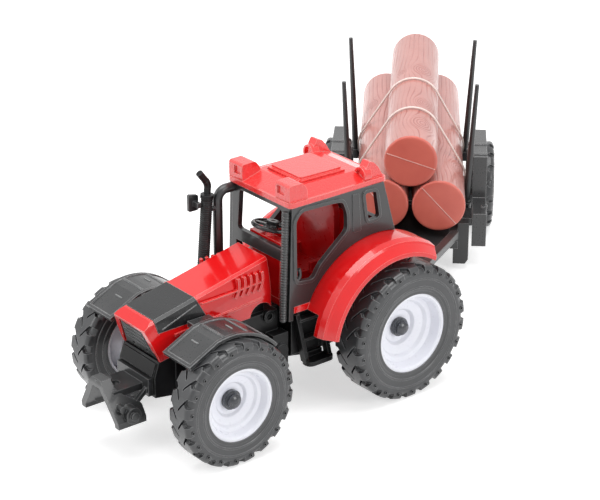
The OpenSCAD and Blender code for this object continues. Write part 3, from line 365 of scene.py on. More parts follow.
def moulded_plastic(
    name, colour, shade, roughness, edge_wear_and_highlight_colour=None, edge_radius=0.7, edge_patch=0.5,
    dust=0.0, dust_colour=None, grain=900.0, bump=0.05, coat=0.0, specular=0.5,
    even_gloss=False, metallic=0.0,
):
    """Two close tones, edges painted pale as highlight and wear, dust and grain. Colours are 0 to 255, the
    edges' radius in mm.
    """
    material = bpy.data.materials.new(name)
    material.use_nodes = True
    tree = material.node_tree
    shader = tree.nodes["Principled BSDF"]
    mould = add_node(tree, "ShaderNodeGroup", {"Grain Scale": grain}, node_tree=MOULDING)
    base = mix_colour(tree, mould.outputs["Slow"], srgb(*colour), srgb(*shade))
    edge_group = add_node(tree, "ShaderNodeGroup", {
        "Radius": edge_radius * MM, "Patchiness": edge_patch,
    }, node_tree=EDGE_WEAR_AND_HIGHLIGHT)
    # edges painted pale: painted highlight on rounded edges, in patches like wear
    if edge_wear_and_highlight_colour:
        base = mix_colour(tree, edge_group.outputs["Mask"], base, srgb(*edge_wear_and_highlight_colour))
    if dust:
        film = add_node(tree, "ShaderNodeGroup", {"Amount": dust}, node_tree=DUST)
        base = mix_colour(tree, film.outputs["Mask"], base, srgb(*dust_colour))
    gloss = roughness
    if not even_gloss:
        swings = (roughness + swing for swing in GLOSS_SWING)
        gloss = ramp(tree, mould.outputs["Fine"], 0.0, 1.0, *swings)
    raised = add_node(tree, "ShaderNodeBump", {
        "Strength": bump, "Distance": BUMP_DEPTH,
        "Height": mould.outputs["Height"], "Normal": edge_group.outputs["Normal"],
    })
    for label, value in (
        ("Base Color", base), ("Roughness", gloss), ("Metallic", metallic), ("Coat Weight", coat),
        ("Coat Roughness", COAT_ROUGHNESS), ("Specular IOR Level", specular),
        ("Normal", raised.outputs["Normal"]),
    ):
        feed(tree, shader.inputs[label], value)
    return material


# Each edge colour below paints a highlight on rounded edges, in patches like wear
RED_SHELL = moulded_plastic(
    "red_shell", (230, 22, 24), (222, 16, 20), 0.2, edge_wear_and_highlight_colour=(255, 150, 144),
    edge_radius=0.6, edge_patch=0.2, grain=500.0, bump=0.02, coat=0.8, specular=0.25,
)
# The roof's red is paler than the shell's: painted light from above, a sheen painted into its colour
RED_ROOF_PAINTED_LIGHT = moulded_plastic(
    "red_roof_painted_light", (238, 54, 52), (234, 46, 46), 0.26, edge_wear_and_highlight_colour=(255, 150, 144),
    edge_radius=0.6, edge_patch=0.2, grain=500.0, bump=0.02, coat=0.9,
)
# A darker red than the shell's, for the seat inside the cab: painted shade
RED_INSIDE_PAINTED_SHADE = moulded_plastic(
    "red_inside_painted_shade", (210, 20, 24), (196, 16, 20), 0.3, edge_wear_and_highlight_colour=(236, 84, 82),
    grain=300.0, bump=0.01, coat=0.3, specular=0.3,
)
BLACK_FRAME = moulded_plastic(
    "black_frame", (44, 45, 46), (36, 37, 38), 0.34, edge_wear_and_highlight_colour=(118, 119, 120),
    edge_radius=0.6, edge_patch=0.35, dust=0.1, dust_colour=(130, 130, 130), coat=0.35,
)
# A darker black than the frame's, for the chassis, nose, tanks, exhaust, tow bracket and steps: painted
# shade
BLACK_UNDER_PAINTED_SHADE = moulded_plastic(
    "black_under_painted_shade", (15, 15, 16), (11, 11, 12), 0.36, edge_wear_and_highlight_colour=(92, 93, 94),
    dust=0.04, dust_colour=(110, 110, 110), specular=0.25,
)
BLACK_TRAILER = moulded_plastic(
    "black_trailer", (42, 43, 44), (34, 35, 36), 0.34, edge_wear_and_highlight_colour=(126, 127, 128),
    edge_patch=0.4, dust=0.06, dust_colour=(120, 120, 120), coat=0.2,
)
BLACK_GLOSS = moulded_plastic(
    "black_gloss", (36, 37, 38), (28, 29, 30), 0.24, edge_wear_and_highlight_colour=(150, 151, 152),
    edge_radius=0.5, edge_patch=0.1, grain=500.0, bump=0.02, coat=0.35, specular=0.3,
)
# Pale grey for the mudguard ribs: a painted highlight on them
RIB_PAINTED_HIGHLIGHT = moulded_plastic("rib_painted_highlight", (140, 142, 142), (120, 122, 122), 0.28, bump=0.02, coat=0.4)
GREY_GUARD = moulded_plastic(
    "grey_guard", (52, 53, 54), (42, 43, 44), 0.3, edge_wear_and_highlight_colour=(160, 161, 162),
    edge_radius=0.8, edge_patch=0.3, dust=0.04, dust_colour=(150, 150, 150), bump=0.06, coat=0.4,
)
TYRE_RUBBER = moulded_plastic(
    "tyre_rubber", (60, 61, 63), (46, 47, 49), 0.36, edge_wear_and_highlight_colour=(138, 139, 140),
    edge_radius=0.6, edge_patch=0.35, dust=0.1, dust_colour=(120, 120, 120), bump=0.1, coat=0.3,
)
# The pits' near-black floor: painted shade in the holes
PIT_PAINTED_SHADE = moulded_plastic("pit_painted_shade", (12, 12, 13), (8, 8, 9), 0.7, bump=0.02, specular=0.1)
RIM_WHITE = moulded_plastic(
    "rim_white", (247, 248, 254), (242, 243, 252), 0.3, grain=500.0, bump=0.01, coat=0.2,
)
HUB_BLACK = moulded_plastic(
    "hub_black", (46, 49, 55), (38, 41, 47), 0.24, edge_wear_and_highlight_colour=(104, 108, 116),
    bump=0.03, coat=0.5,
)
LOG_END = moulded_plastic(
    "log_end", (216, 108, 92), (204, 96, 82), 0.42, edge_wear_and_highlight_colour=(232, 158, 146),
    edge_radius=1.0, edge_patch=0.1, bump=0.0, coat=0.3, even_gloss=True,
)
LOG_SEAM = moulded_plastic("log_seam", (238, 186, 176), (230, 174, 164), 0.3, bump=0.01, coat=0.3)
CLEAR_TIE = moulded_plastic("clear_tie", (244, 228, 220), (238, 218, 210), 0.2, bump=0.01, coat=0.6)

# Streaks along a log: how long they are drawn, how fine, where the noise starts and ends one, how strong
STREAK_STRETCH = 0.12
STREAK_SCALE = 330.0
STREAK_EDGES = (0.36, 0.7)
STREAK_SHARE = 0.3
STREAK_COLOUR = srgb(206, 132, 122)
# Grooves: the values that the carving leaves on each point, and the shaded part of a line's spacing; the
# grooves are painted darker as their shade
GRAIN_FIELDS = ("grain_lines", "grain_rings", "grain_depth")
LINE_SHADE = (0.02, 0.15)
RING_SHADE = (0.02, 0.34)
# How much of the painted groove shade shows, and its colour
GROOVE_SHADE_SHARE = 0.85
GROOVE_SHADE_COLOUR = srgb(168, 80, 72)
# How many rings a knot has from its middle to its edge
KNOT_RINGS = 4.0


def log_plastic():
    """Pale pink moulded bark: streaks along the log, the carved grooves and knot rings painted darker as
    their shade.
    """
    material = moulded_plastic(
        "log_skin", (204, 138, 129), (194, 127, 118), 0.36, edge_wear_and_highlight_colour=(238, 190, 180),
        edge_patch=0.3, grain=700.0, bump=0.03, coat=0.5,
    )
    tree = material.node_tree
    base = tree.nodes["Principled BSDF"].inputs["Base Color"]
    plain = base.links[0].from_socket
    lengthwise = add_node(tree, "ShaderNodeMapping", {
        "Vector": object_position(tree), "Scale": (STREAK_STRETCH, 1, 1),
        "Rotation": (0, 0, -math.atan2(TRAILER_BACK.y, TRAILER_BACK.x)),
    })
    streak = ramp(tree, noise(tree, lengthwise.outputs["Vector"], STREAK_SCALE), *STREAK_EDGES)
    streaked = mix_colour(tree, product(tree, streak, STREAK_SHARE), plain, STREAK_COLOUR)
    lines, rings, depth = (
        add_node(tree, "ShaderNodeAttribute", attribute_name=label).outputs["Fac"] for label in GRAIN_FIELDS
    )
    inside = math_node(tree, "LESS_THAN", rings, KNOT_RINGS)
    on_line, on_ring = (
        math_node(tree, "SUBTRACT", 1.0, ramp(tree, math_node(tree, "PINGPONG", field, 0.5), *width))
        for field, width in ((lines, LINE_SHADE), (rings, RING_SHADE))
    )
    # grooves and knot rings painted darker: painted shade in the carving
    free = product(tree, on_line, math_node(tree, "SUBTRACT", 1.0, inside), depth)
    groove_shade = math_node(tree, "ADD", free, product(tree, on_ring, inside))
    groove_shade = math_node(tree, "MULTIPLY", groove_shade, GROOVE_SHADE_SHARE, clamp=True)
    feed(tree, base, mix_colour(tree, groove_shade, streaked, GROOVE_SHADE_COLOUR))
    return material


LOG_SKIN = log_plastic()

# Steel has the same layers, and is a metal
STEEL_ROD = moulded_plastic("steel_rod", (170, 172, 176), (150, 152, 156), 0.3, bump=0.02, metallic=1.0)

FINISH = {
    RED_SHELL: ["bonnet", "rear_body", "dashboard"],
    RED_ROOF_PAINTED_LIGHT: ["roof", "roof_hatch"],
    RED_INSIDE_PAINTED_SHADE: ["seat"],
    BLACK_FRAME: [
        "grille", "side_mirror", "intake_tube", "pillar_hose", "front_coupler",
        "cab_side_left", "cab_side_right", "cab_front_frame", "cab_rear_frame",
    ],
    BLACK_UNDER_PAINTED_SHADE: [
        "chassis", "nose_block", "exhaust", "side_tanks", "tow_bracket", "step_left", "step_right",
    ],
    BLACK_TRAILER: [
        "tow_pin", "drawbar_left", "drawbar_right", "drawbar_eye", "side_rails", "bed_plate",
        "front_bunk", "rear_bunk", "stakes", "parking_legs", "trailer_axle",
    ],
    BLACK_GLOSS: ["bonnet_insert", "steering_wheel"],
    GREY_GUARD: ["front_mudguard_left", "front_mudguard_right", "trailer_mudguards"],
    TYRE_RUBBER: [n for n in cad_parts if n.startswith("tyre_")],
    RIM_WHITE: [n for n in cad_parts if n.startswith("rim_")],
    HUB_BLACK: ["front_hub_caps", "rear_hub_caps", "trailer_hub_caps"],
    STEEL_ROD: ["front_axle_rod", "rear_axle_rod"],
    LOG_SKIN: ["log_top", "log_left", "log_right"],
    CLEAR_TIE: ["tie_bands"],
}


def finish_node(node, material):
    """Puts a material in every slot of a CAD node, and adds a slot where it has none."""
    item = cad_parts[node]
    if not item.data.materials:
        item.data.materials.append(material)
        return
    for slot in item.material_slots:
        slot.link = "OBJECT"
        slot.material = material


for material, nodes in FINISH.items():
    for node in nodes:
        finish_node(node, material)

# ------------------------------ making pieces

# A raised line's section, as shares of its half width and its height, and how deep it is let in
LINE_SECTION = [(-1, 0), (-0.6, 0.8), (0, 1), (0.6, 0.8), (1, 0)]
LINE_SEAT = 0.02 * MM


def geometry_tree(name, sizes, materials):
    """An empty geometry tree with named sizes {name: default} and named materials."""
    tree = bpy.data.node_groups.new(name, "GeometryNodeTree")
    tree.interface.new_socket("Geometry", in_out="INPUT", socket_type="NodeSocketGeometry")
    for label, value in sizes.items():
        kind = "NodeSocketInt" if isinstance(value, int) else FLOAT
        tree.interface.new_socket(label, in_out="INPUT", socket_type=kind).default_value = value
    for label in materials:
        tree.interface.new_socket(label, in_out="INPUT", socket_type="NodeSocketMaterial")
    tree.interface.new_socket("Geometry", in_out="OUTPUT", socket_type="NodeSocketGeometry")
    return tree, tree.nodes.new("NodeGroupInput").outputs, tree.nodes.new("NodeGroupOutput").inputs


def real_in(tree, geometry, material, selection=None):
    """A tree's geometry made real, in one of its named materials, all of it or what is selected."""
    real = add_node(tree, "GeometryNodeRealizeInstances", {"Geometry": geometry}).outputs[0]
    inputs = {"Geometry": real, "Material": material}
    if selection is not None:
        inputs["Selection"] = selection
    return add_node(tree, "GeometryNodeSetMaterial", inputs).outputs[0]


def grown_mesh(name, tree, mesh, values):
    """The plain mesh that a geometry tree makes of a mesh."""
    carrier = new_object(name, mesh)
    modifier = carrier.modifiers.new("grow", "NODES")
    modifier.node_group = tree
    for item in tree.interface.items_tree:
        if item.item_type == "SOCKET" and item.in_out == "INPUT" and item.name in values:
            modifier[item.identifier] = values[item.name]
    graph = bpy.context.evaluated_depsgraph_get()
    result = bpy.data.meshes.new_from_object(carrier.evaluated_get(graph), depsgraph=graph)
    carrier.modifiers.remove(modifier)
    bpy.data.objects.remove(carrier)
    return result


def finished_piece(name, mesh, body, stands_for=()):
    """A piece whose place is in its mesh, riding on its body."""
    mesh.name = name
    piece = new_object(name, mesh)
    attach(piece, body)
    if stands_for:
        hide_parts(*stands_for)
    return piece


def closed_mesh(name, points, faces):
    """A mesh with its faces turned the right way out."""
    mesh = bpy.data.meshes.new(name)
    mesh.from_pydata(points, [], faces)
    shape = bmesh.new()
    shape.from_mesh(mesh)
    bmesh.ops.recalc_face_normals(shape, faces=shape.faces)
    shape.to_mesh(mesh)
    shape.free()
    return mesh


def trim_piece(name, points, faces, material, body):
    """A small closed piece made from its points and faces."""
    mesh = closed_mesh(name, points, faces)
    mesh.materials.append(material)
    return finished_piece(name, mesh, body)


def mirrored(place):
    """The same place on the tractor's other side."""
    return Vector((place.x, 2 * TRACTOR_MIDDLE - place.y, place.z))


def turned_over(normal):
    """A way out of the tractor's left side, as it is on its right side."""
    return Vector((normal.x, -normal.y, normal.z))


def ringed_faces(rings, corners):
    """The faces of a solid whose points are rings of corners, one ring after the other, ends closed."""
    last = (rings - 1) * corners
    faces = [tuple(range(corners)), tuple(range(last, last + corners))]
    for first in range(0, last, corners):
        for k in range(corners):
            n = (k + 1) % corners
            faces.append((first + k, first + n, first + corners + n, first + corners + k))
    return faces


def raised_line(name, start, end, out, width, height, material, body):
    """A thin line with a rounded back that stands on a flat face, from start to end."""
    side = (end - start).normalized().cross(out)
    points = [
        place + side * across * width / 2 + out * (proud * height - LINE_SEAT)
        for place in (start, end) for across, proud in LINE_SECTION
    ]
    faces = ringed_faces(2, len(LINE_SECTION))
    return trim_piece(name, points, faces, material, body)


# ------------------------------ logs with carved grain

# How finely a log is cut along it and round it, and the rings on its flat ends as shares of its radius
LOG_RINGS = 200
LOG_SPOKES = 320
END_RINGS = (0.5, 0.85)
# The rounding of its ends, and how far the carved skin stays inside the CAD log
LOG_EDGE = 1.3 * MM
LOG_SPARE = 0.12 * MM
# Corners this near the CAD log's end make its rim, and points this near the radius are its side
END_DEPTH = 0.7 * MM
SIDE_MARGIN = 0.05 * MM
GRAIN_SPACING = 3.3 * MM
GRAIN_DEPTH = 0.3 * MM
# Noise, squeezed along the log, moves the lines by up to half the wander and fades them in places
GRAIN_WANDER = 4.0 * MM
GRAIN_SQUEEZE = 0.22
WANDER_SCALE = 70.0
FADE_SCALE = 160.0
FADE_EDGES = (0.38, 0.6)
FAINTEST = 0.25
# How many knots a log has, and their length to width
KNOT_SLOTS = 6
KNOT_STRETCH = 1.5
# Knots out of sight: sizes in mm, largest angle from the top, and where they lie as shares of the length
HIDDEN_KNOT_SIZES = (3.4, 5.4)
HIDDEN_KNOT_ARC = 2.6
HIDDEN_KNOT_REACH = (0.1, 0.92)
# The least distance between knots round a log; along it, twice that
KNOT_GAP = 16 * MM
# Keeps divisions off zero
TINY = 1e-6


def log_axis(node):
    """The front end's middle, the turn that lays +X along the log, its length and its radius."""
    points = node_points(node)
    reach = [p.dot(TRAILER_BACK) for p in points]
    ends = []
    for end in (min(reach), max(reach)):
        rim = [p for p, r in zip(points, reach) if abs(r - end) < END_DEPTH]
        low = Vector([min(p[i] for p in rim) for i in range(3)])
        high = Vector([max(p[i] for p in rim) for i in range(3)])
        ends.append((low + high) / 2)
    along = (ends[1] - ends[0]).normalized()
    side = UP.cross(along).normalized()
    turn = Matrix((along, side, along.cross(side))).transposed()
    radius = max((p - ends[0]).cross(along).length for p in points) - LOG_SPARE
    return ends[0], turn, (ends[1] - ends[0]).length, radius


def lathe(profile, spokes):
    """A closed solid turned about X from (x, radius) pairs that start and end on the axis."""
    rings = profile[1:-1]
    points = [(profile[0][0], 0, 0)]
    for x, r in rings:
        for k in range(spokes):
            a = 2 * math.pi * k / spokes
            points.append((x, -r * math.sin(a), r * math.cos(a)))
    points.append((profile[-1][0], 0, 0))
    last = len(points) - 1
    faces = []
    for k in range(spokes):
        n = (k + 1) % spokes
        faces.append((0, 1 + k, 1 + n))
        for i in range(len(rings) - 1):
            a, b = 1 + i * spokes, 1 + (i + 1) * spokes
            faces.append((a + k, b + k, b + n, a + n))
        top = 1 + (len(rings) - 1) * spokes
        faces.append((last, top + n, top + k))
    mesh = closed_mesh("lathe", points, faces)
    mesh.shade_smooth()
    return mesh


def log_blank(length, radius):
    """A log before it is carved: flat ends with rounded rims, and close rings along its side."""
    quarter = [math.radians(a) for a in (0, 22.5, 45, 67.5, 90)]
    rim = [
        (LOG_EDGE * (1 - math.sin(a)), radius - LOG_EDGE * (1 - math.cos(a))) for a in reversed(quarter)
    ]
    front = [(0, 0)] + [(0, radius * share) for share in END_RINGS] + rim
    step = (length - 2 * LOG_EDGE) / LOG_RINGS
    side = [(LOG_EDGE + step * i, radius) for i in range(1, LOG_RINGS)]
    back = [(length - x, r) for x, r in reversed(front)]
    return lathe(front + side + back, LOG_SPOKES)


def length_of(tree, a, b):
    """The length of the long side over two sides at right angles."""
    return math_node(tree, "SQRT", math_node(tree, "ADD", product(tree, a, a), product(tree, b, b)))


def knot_group():
    """How one knot bends the grain about it: the lines run round an oval and ring inside it."""
    labels = ("Arc", "Along", "Knot Arc", "Knot Along", "Knot Size")
    tree, given, result = new_group(
        "knot", dict.fromkeys(labels, 0.0), {"Bend": FLOAT, "Rings": FLOAT}, "GeometryNodeTree"
    )
    across = math_node(tree, "SUBTRACT", given["Arc"], given["Knot Arc"])
    along = math_node(tree, "SUBTRACT", given["Along"], given["Knot Along"])
    along = math_node(tree, "DIVIDE", along, KNOT_STRETCH)
    far = math_node(tree, "MAXIMUM", length_of(tree, across, along), TINY)
    ratio = math_node(tree, "DIVIDE", given["Knot Size"], far)
    held = math_node(tree, "MINIMUM", product(tree, ratio, ratio), 1.0)
    feed(tree, result["Bend"], product(tree, across, held))
    rings = math_node(tree, "DIVIDE", KNOT_RINGS, math_node(tree, "MAXIMUM", ratio, TINY))
    feed(tree, result["Rings"], rings)
    return tree


def grain_noise(tree, place, seed, scale):
    """Smooth noise along a log, different for each seed."""
    return add_node(tree, "ShaderNodeTexNoise", {
        "Vector": place, "W": seed, "Scale": scale, "Detail": 1.0,
    }, noise_dimensions="4D").outputs[0]


def carved_grain_tree():
    """Grooves along a log's side that wander, bend round knots and ring inside them."""
    sizes = {
        "Radius": 17 * MM, "Length": 0.2, "Line Spacing": GRAIN_SPACING, "Groove Depth": GRAIN_DEPTH,
        "Wander": GRAIN_WANDER, "Seed": 0.0,
    }
    for k in range(KNOT_SLOTS):
        sizes.update({f"Knot {k} Arc": 0.0, f"Knot {k} Along": 0.0, f"Knot {k} Size": 0.0})
    tree, given, result = geometry_tree("carved_grain", sizes, ("Skin", "End"))
    place = add_node(tree, "GeometryNodeInputPosition").outputs[0]
    parts = add_node(tree, "ShaderNodeSeparateXYZ", {"Vector": place}).outputs
    along = parts["X"]
    arc = product(tree, math_node(tree, "ARCTAN2", parts["Y"], parts["Z"]), given["Radius"])
    on_side = math_node(
        tree, "GREATER_THAN", length_of(tree, parts["Y"], parts["Z"]),
        math_node(tree, "SUBTRACT", given["Radius"], SIDE_MARGIN),
    )

    # lines run along the log a spacing apart, and wander
    squeezed = add_node(tree, "ShaderNodeCombineXYZ", {
        "X": product(tree, along, GRAIN_SQUEEZE), "Y": parts["Y"], "Z": parts["Z"],
    }).outputs[0]
    drift = grain_noise(tree, squeezed, given["Seed"], WANDER_SCALE)
    drift = product(tree, math_node(tree, "SUBTRACT", drift, 0.5), given["Wander"])
    field = math_node(tree, "ADD", arc, drift)

    # each knot bends the lines, and rings inside
    knot = knot_group()
    rings = None
    for k in range(KNOT_SLOTS):
        values = {f"Knot {label}": given[f"Knot {k} {label}"] for label in ("Arc", "Along", "Size")}
        bend = add_node(tree, "GeometryNodeGroup", {"Arc": arc, "Along": along, **values}, node_tree=knot)
        field = math_node(tree, "SUBTRACT", field, bend.outputs["Bend"])
        ring = bend.outputs["Rings"]
        rings = ring if rings is None else math_node(tree, "MINIMUM", rings, ring)
    lines = math_node(tree, "DIVIDE", field, given["Line Spacing"])
    inside = math_node(tree, "LESS_THAN", rings, KNOT_RINGS)
    free = product(tree, lines, math_node(tree, "SUBTRACT", 1.0, inside))
    pattern = math_node(tree, "ADD", free, product(tree, rings, inside))

    # grooves sink into the side where the pattern crosses a whole number, and fade in places
    groove = ramp(tree, math_node(tree, "PINGPONG", pattern, 0.5), *LINE_SHADE, 1.0, 0.0, "SMOOTHSTEP")
    fade = ramp(tree, grain_noise(tree, squeezed, given["Seed"], FADE_SCALE), *FADE_EDGES, FAINTEST, 1.0)
    groove = product(tree, groove, math_node(tree, "MAXIMUM", fade, inside), on_side)
    outward = add_node(tree, "ShaderNodeCombineXYZ", {"Y": parts["Y"], "Z": parts["Z"]}).outputs[0]
    outward = add_node(tree, "ShaderNodeVectorMath", {0: outward}, operation="NORMALIZE").outputs[0]
    sink = product(tree, groove, given["Groove Depth"], -1.0)
    move = add_node(tree, "ShaderNodeVectorMath", {0: outward, "Scale": sink}, operation="SCALE").outputs[0]
    kept = given["Geometry"]
    for label, value in zip(GRAIN_FIELDS, (lines, rings, fade)):
        kept = add_node(tree, "GeometryNodeStoreNamedAttribute", {
            "Geometry": kept, "Name": label, "Value": value,
        }, data_type="FLOAT", domain="POINT").outputs[0]
    carved = add_node(tree, "GeometryNodeSetPosition", {"Geometry": kept, "Offset": move}).outputs[0]

    # the skin all over, then the plain ends
    skinned = real_in(tree, carved, given["Skin"])
    half = product(tree, given["Length"], 0.5)
    from_middle = math_node(tree, "ABSOLUTE", math_node(tree, "SUBTRACT", along, half))
    on_end = math_node(tree, "GREATER_THAN", from_middle, math_node(tree, "SUBTRACT", half, LOG_EDGE))
    feed(tree, result["Geometry"], real_in(tree, skinned, given["End"], on_end))
    return tree


def knots_for(node, seen, seed):
    """The knots of one log as (arc, along, size): those seen in the image, then random ones behind."""
    front, turn, length, radius = log_axis(node)
    knots = []
    for name, size in seen:
        place, _ = place_on(node, name)
        x, y, z = turn.transposed() @ (place - front)
        knots.append((math.atan2(y, z) * radius, x, size))
    pick = random.Random(seed)
    while len(knots) < KNOT_SLOTS:
        arc = pick.uniform(-HIDDEN_KNOT_ARC, HIDDEN_KNOT_ARC) * radius
        x = pick.uniform(*HIDDEN_KNOT_REACH) * length
        if all(math.hypot(arc - a, (x - b) / 2) > KNOT_GAP for a, b, _ in knots):
            knots.append((arc, x, pick.uniform(*HIDDEN_KNOT_SIZES) * MM))
    return knots


def carved_log(node, seen, seed):
    """A log's carved skin, which stands for the plain CAD log."""
    front, turn, length, radius = log_axis(node)
    values = {"Radius": radius, "Length": length, "Seed": float(seed), "Skin": LOG_SKIN, "End": LOG_END}
    for k, (arc, x, size) in enumerate(knots_for(node, seen, seed)):
        values.update({f"Knot {k} Arc": arc, f"Knot {k} Along": x, f"Knot {k} Size": size})
    mesh = grown_mesh(node, CARVED_GRAIN, log_blank(length, radius), values)
    mesh.transform(Matrix.Translation(front) @ turn.to_4x4())
    return finished_piece("carved_" + node, mesh, "log_load", (node,))


CARVED_GRAIN = carved_grain_tree()
LOG_KNOTS = {
    "log_top": [("knot_near", 8.4 * MM), ("knot_middle", 6.4 * MM), ("knot_far", 7.4 * MM)],
    "log_left": [("knot_low_log", 7.0 * MM)],
    "log_right": [],
}
# Each log has its own seed, from this one on
FIRST_SEED = 3
for seed, (node, seen) in enumerate(LOG_KNOTS.items(), FIRST_SEED):
    carved_log(node, seen, seed)

# ------------------------------ ribs and creases on the tractor

RIB_LENGTH = 6.4 * MM
RIB_WIDTH = 1.0 * MM
RIB_HEIGHT = 0.5 * MM
RIB_SEAT = 0.15 * MM
RIB_CORNERS = 16
# A rib's rounded side: height, and share of its width there
RIB_SECTION = [(-RIB_SEAT, 1.0), (RIB_HEIGHT * 0.5, 0.94), (RIB_HEIGHT * 0.85, 0.7), (RIB_HEIGHT, 0.3)]
# The fold line on the bonnet's black panel
CREASE_WIDTH = 0.9 * MM
CREASE_HEIGHT = 0.35 * MM


def mudguard_rib(name, place, normal):
    """A short rib with round ends on top of a mudguard, running across it, in a pale grey that is a painted
    highlight.
    """
    side = normal.cross(TRACTOR_LEFT).normalized()
    ahead = side.cross(normal)
    straight = (RIB_LENGTH - RIB_WIDTH) / 2
    points = []
    for height, share in RIB_SECTION:
        for k in range(RIB_CORNERS):
            a = 2 * math.pi * (k + 0.5) / RIB_CORNERS
            reach = straight if math.cos(a) > 0 else -straight
            points.append(
                place + normal * height + ahead * (reach + math.cos(a) * share * RIB_WIDTH / 2)
                + side * math.sin(a) * share * RIB_WIDTH / 2
            )
    faces = ringed_faces(len(RIB_SECTION), RIB_CORNERS)
    return trim_piece(name, points, faces, RIB_PAINTED_HIGHLIGHT, "tractor")


def mudguard_ribs(end):
    """The rib at one end of the left front mudguard, and its mirrored twin."""
    name = f"guard_rib_left_{end}"
    place, normal = place_on("front_mudguard_left", name)
    mudguard_rib(name, place, normal)
    mudguard_rib(f"guard_rib_right_{end}", mirrored(place), turned_over(normal))


def insert_creases():
    """The fold line along each flank of the black bonnet panel, a little below its edge."""
    start, _ = place_on("bonnet_insert", "insert_crease_rear")
    end, normal = place_on("bonnet_insert", "insert_crease_front")
    for side, first, last, out in (
        ("left", start, end, normal), ("right", mirrored(start), mirrored(end), turned_over(normal)),
    ):
        raised_line(
            f"insert_crease_{side}", first, last, out, CREASE_WIDTH, CREASE_HEIGHT,
            BLACK_GLOSS, "tractor",
        )


for end in ("front", "rear"):
    mudguard_ribs(end)
insert_creases()

# ------------------------------ moulding pits on the tyre shoulders

# A pit's hole, its ring's width and height, and how far its middle lies in from the tread
PIT_RADIUS = 0.7 * MM
PIT_RING = 0.3 * MM
PIT_PROUD = 0.1 * MM
PIT_INSET = 3.6 * MM
PIT_CORNERS = 12
# The part of the hole painted near-black as its shade, as a share of its radius
HOLE_SHARE = 0.95
# How far the lugs' outer faces lie in from the tyre's outermost point
LUG_FACE_INSET = 0.2 * MM
# A lug's outer end is what lies within these of the tyre's face and of its tread
LUG_END_DEPTH = 2.4 * MM
LUG_TREAD_DEPTH = 1.2 * MM
# How many lugs each kind of tyre has on a side
LUGS = {"front": 20, "rear": 22, "trailer": 17}


def pit_tree():
    """Small pits with a raised ring, evenly round a circle, their floors painted dark as shade."""
    tree, given, result = geometry_tree(
        "shoulder_pits",
        {"Pit Count": 20, "Circle Radius": 30 * MM, "Turn": 0.0, "Hole Radius": PIT_RADIUS},
        ("Ring", "Hole"),
    )
    place = add_node(tree, "GeometryNodeInputPosition").outputs[0]
    far = add_node(tree, "ShaderNodeVectorMath", {0: place}, operation="LENGTH").outputs["Value"]
    pit = add_node(tree, "GeometryNodeStoreNamedAttribute", {
        "Geometry": given["Geometry"], "Name": "hole",
        "Value": math_node(tree, "LESS_THAN", far, given["Hole Radius"]),
    }, data_type="FLOAT", domain="FACE").outputs[0]
    circle = add_node(tree, "GeometryNodeMeshCircle", {
        "Vertices": given["Pit Count"], "Radius": given["Circle Radius"],
    }).outputs[0]
    turn = add_node(tree, "ShaderNodeCombineXYZ", {"Z": given["Turn"]}).outputs[0]
    turned_circle = add_node(tree, "GeometryNodeTransform", {"Geometry": circle, "Rotation": turn})
    row = add_node(tree, "GeometryNodeInstanceOnPoints", {
        "Points": turned_circle.outputs[0], "Instance": pit,
    }).outputs[0]
    ringed = real_in(tree, row, given["Ring"])
    # the floor of each hole takes the painted shade
    mark = add_node(tree, "GeometryNodeInputNamedAttribute", {"Name": "hole"}, data_type="FLOAT")
    hole_shade = math_node(tree, "GREATER_THAN", mark.outputs["Attribute"], 0.5)
    feed(tree, result["Geometry"], real_in(tree, ringed, given["Hole"], hole_shade))
    return tree


def one_pit():
    """One pit turned about Z: a low floor, painted dark as its shade, inside a rounded ring."""
    outer = PIT_RADIUS + PIT_RING
    profile = [
        (-PIT_PROUD, 0), (-PIT_PROUD, outer), (0, outer), (PIT_PROUD * 0.7, outer - PIT_RING * 0.2),
        (PIT_PROUD, outer - PIT_RING * 0.5), (PIT_PROUD * 0.7, PIT_RADIUS + PIT_RING * 0.1),
        (PIT_PROUD * 0.2, PIT_RADIUS * 0.96), (PIT_PROUD * 0.2, 0),
    ]
    mesh = lathe(profile, PIT_CORNERS)
    mesh.transform(Matrix.Rotation(-math.pi / 2, 4, "Y"))
    return mesh


def shoulder_pits(wheel, side, out):
    """One pit on the outer end of each of a tyre's lugs."""
    node, lugs = f"tyre_{wheel}_{side}", LUGS[wheel]
    centre = middle_of(node)
    across = UP.cross(out)
    turn = Matrix((across, out.cross(across), out)).transposed()
    around = [turn.transposed() @ (p - centre) for p in node_points(node)]
    face = max(p.z for p in around)
    radius = max(p.xy.length for p in around)
    ends = [p for p in around if p.z > face - LUG_END_DEPTH and p.xy.length > radius - LUG_TREAD_DEPTH]
    swing = [lugs * math.atan2(p.y, p.x) for p in ends]
    phase = math.atan2(sum(map(math.sin, swing)), sum(map(math.cos, swing))) / lugs
    mesh = grown_mesh("pits", PIT_TREE, one_pit(), {
        "Pit Count": lugs, "Circle Radius": radius - PIT_INSET, "Turn": phase,
        "Hole Radius": PIT_RADIUS * HOLE_SHARE, "Ring": TYRE_RUBBER, "Hole": PIT_PAINTED_SHADE,
    })
    mesh.transform(Matrix.Translation(centre + out * (face - LUG_FACE_INSET)) @ turn.to_4x4())
    return finished_piece(f"pits_{wheel}_{side}", mesh, f"{wheel}_wheel_{side}")


PIT_TREE = pit_tree()
for side, way in (("left", 1), ("right", -1)):
    shoulder_pits("front", side, TRACTOR_LEFT * way)
    shoulder_pits("rear", side, TRACTOR_LEFT * way)
    shoulder_pits("trailer", side, TRAILER_LEFT * way)

# ------------------------------ clear ties and door grips

TUBE_CORNERS = 10
TIE_RADIUS = 0.75 * MM
TIE_STEPS = 160
# Corners of a CAD tie that are closer than this are one
SAME_CORNER = 0.05 * MM
GRIP_RADIUS = 1.1 * MM
GRIP_STEPS = 40
# Height of a door's sill above the foot of its cab side
GRIP_SILL = 22.6 * MM
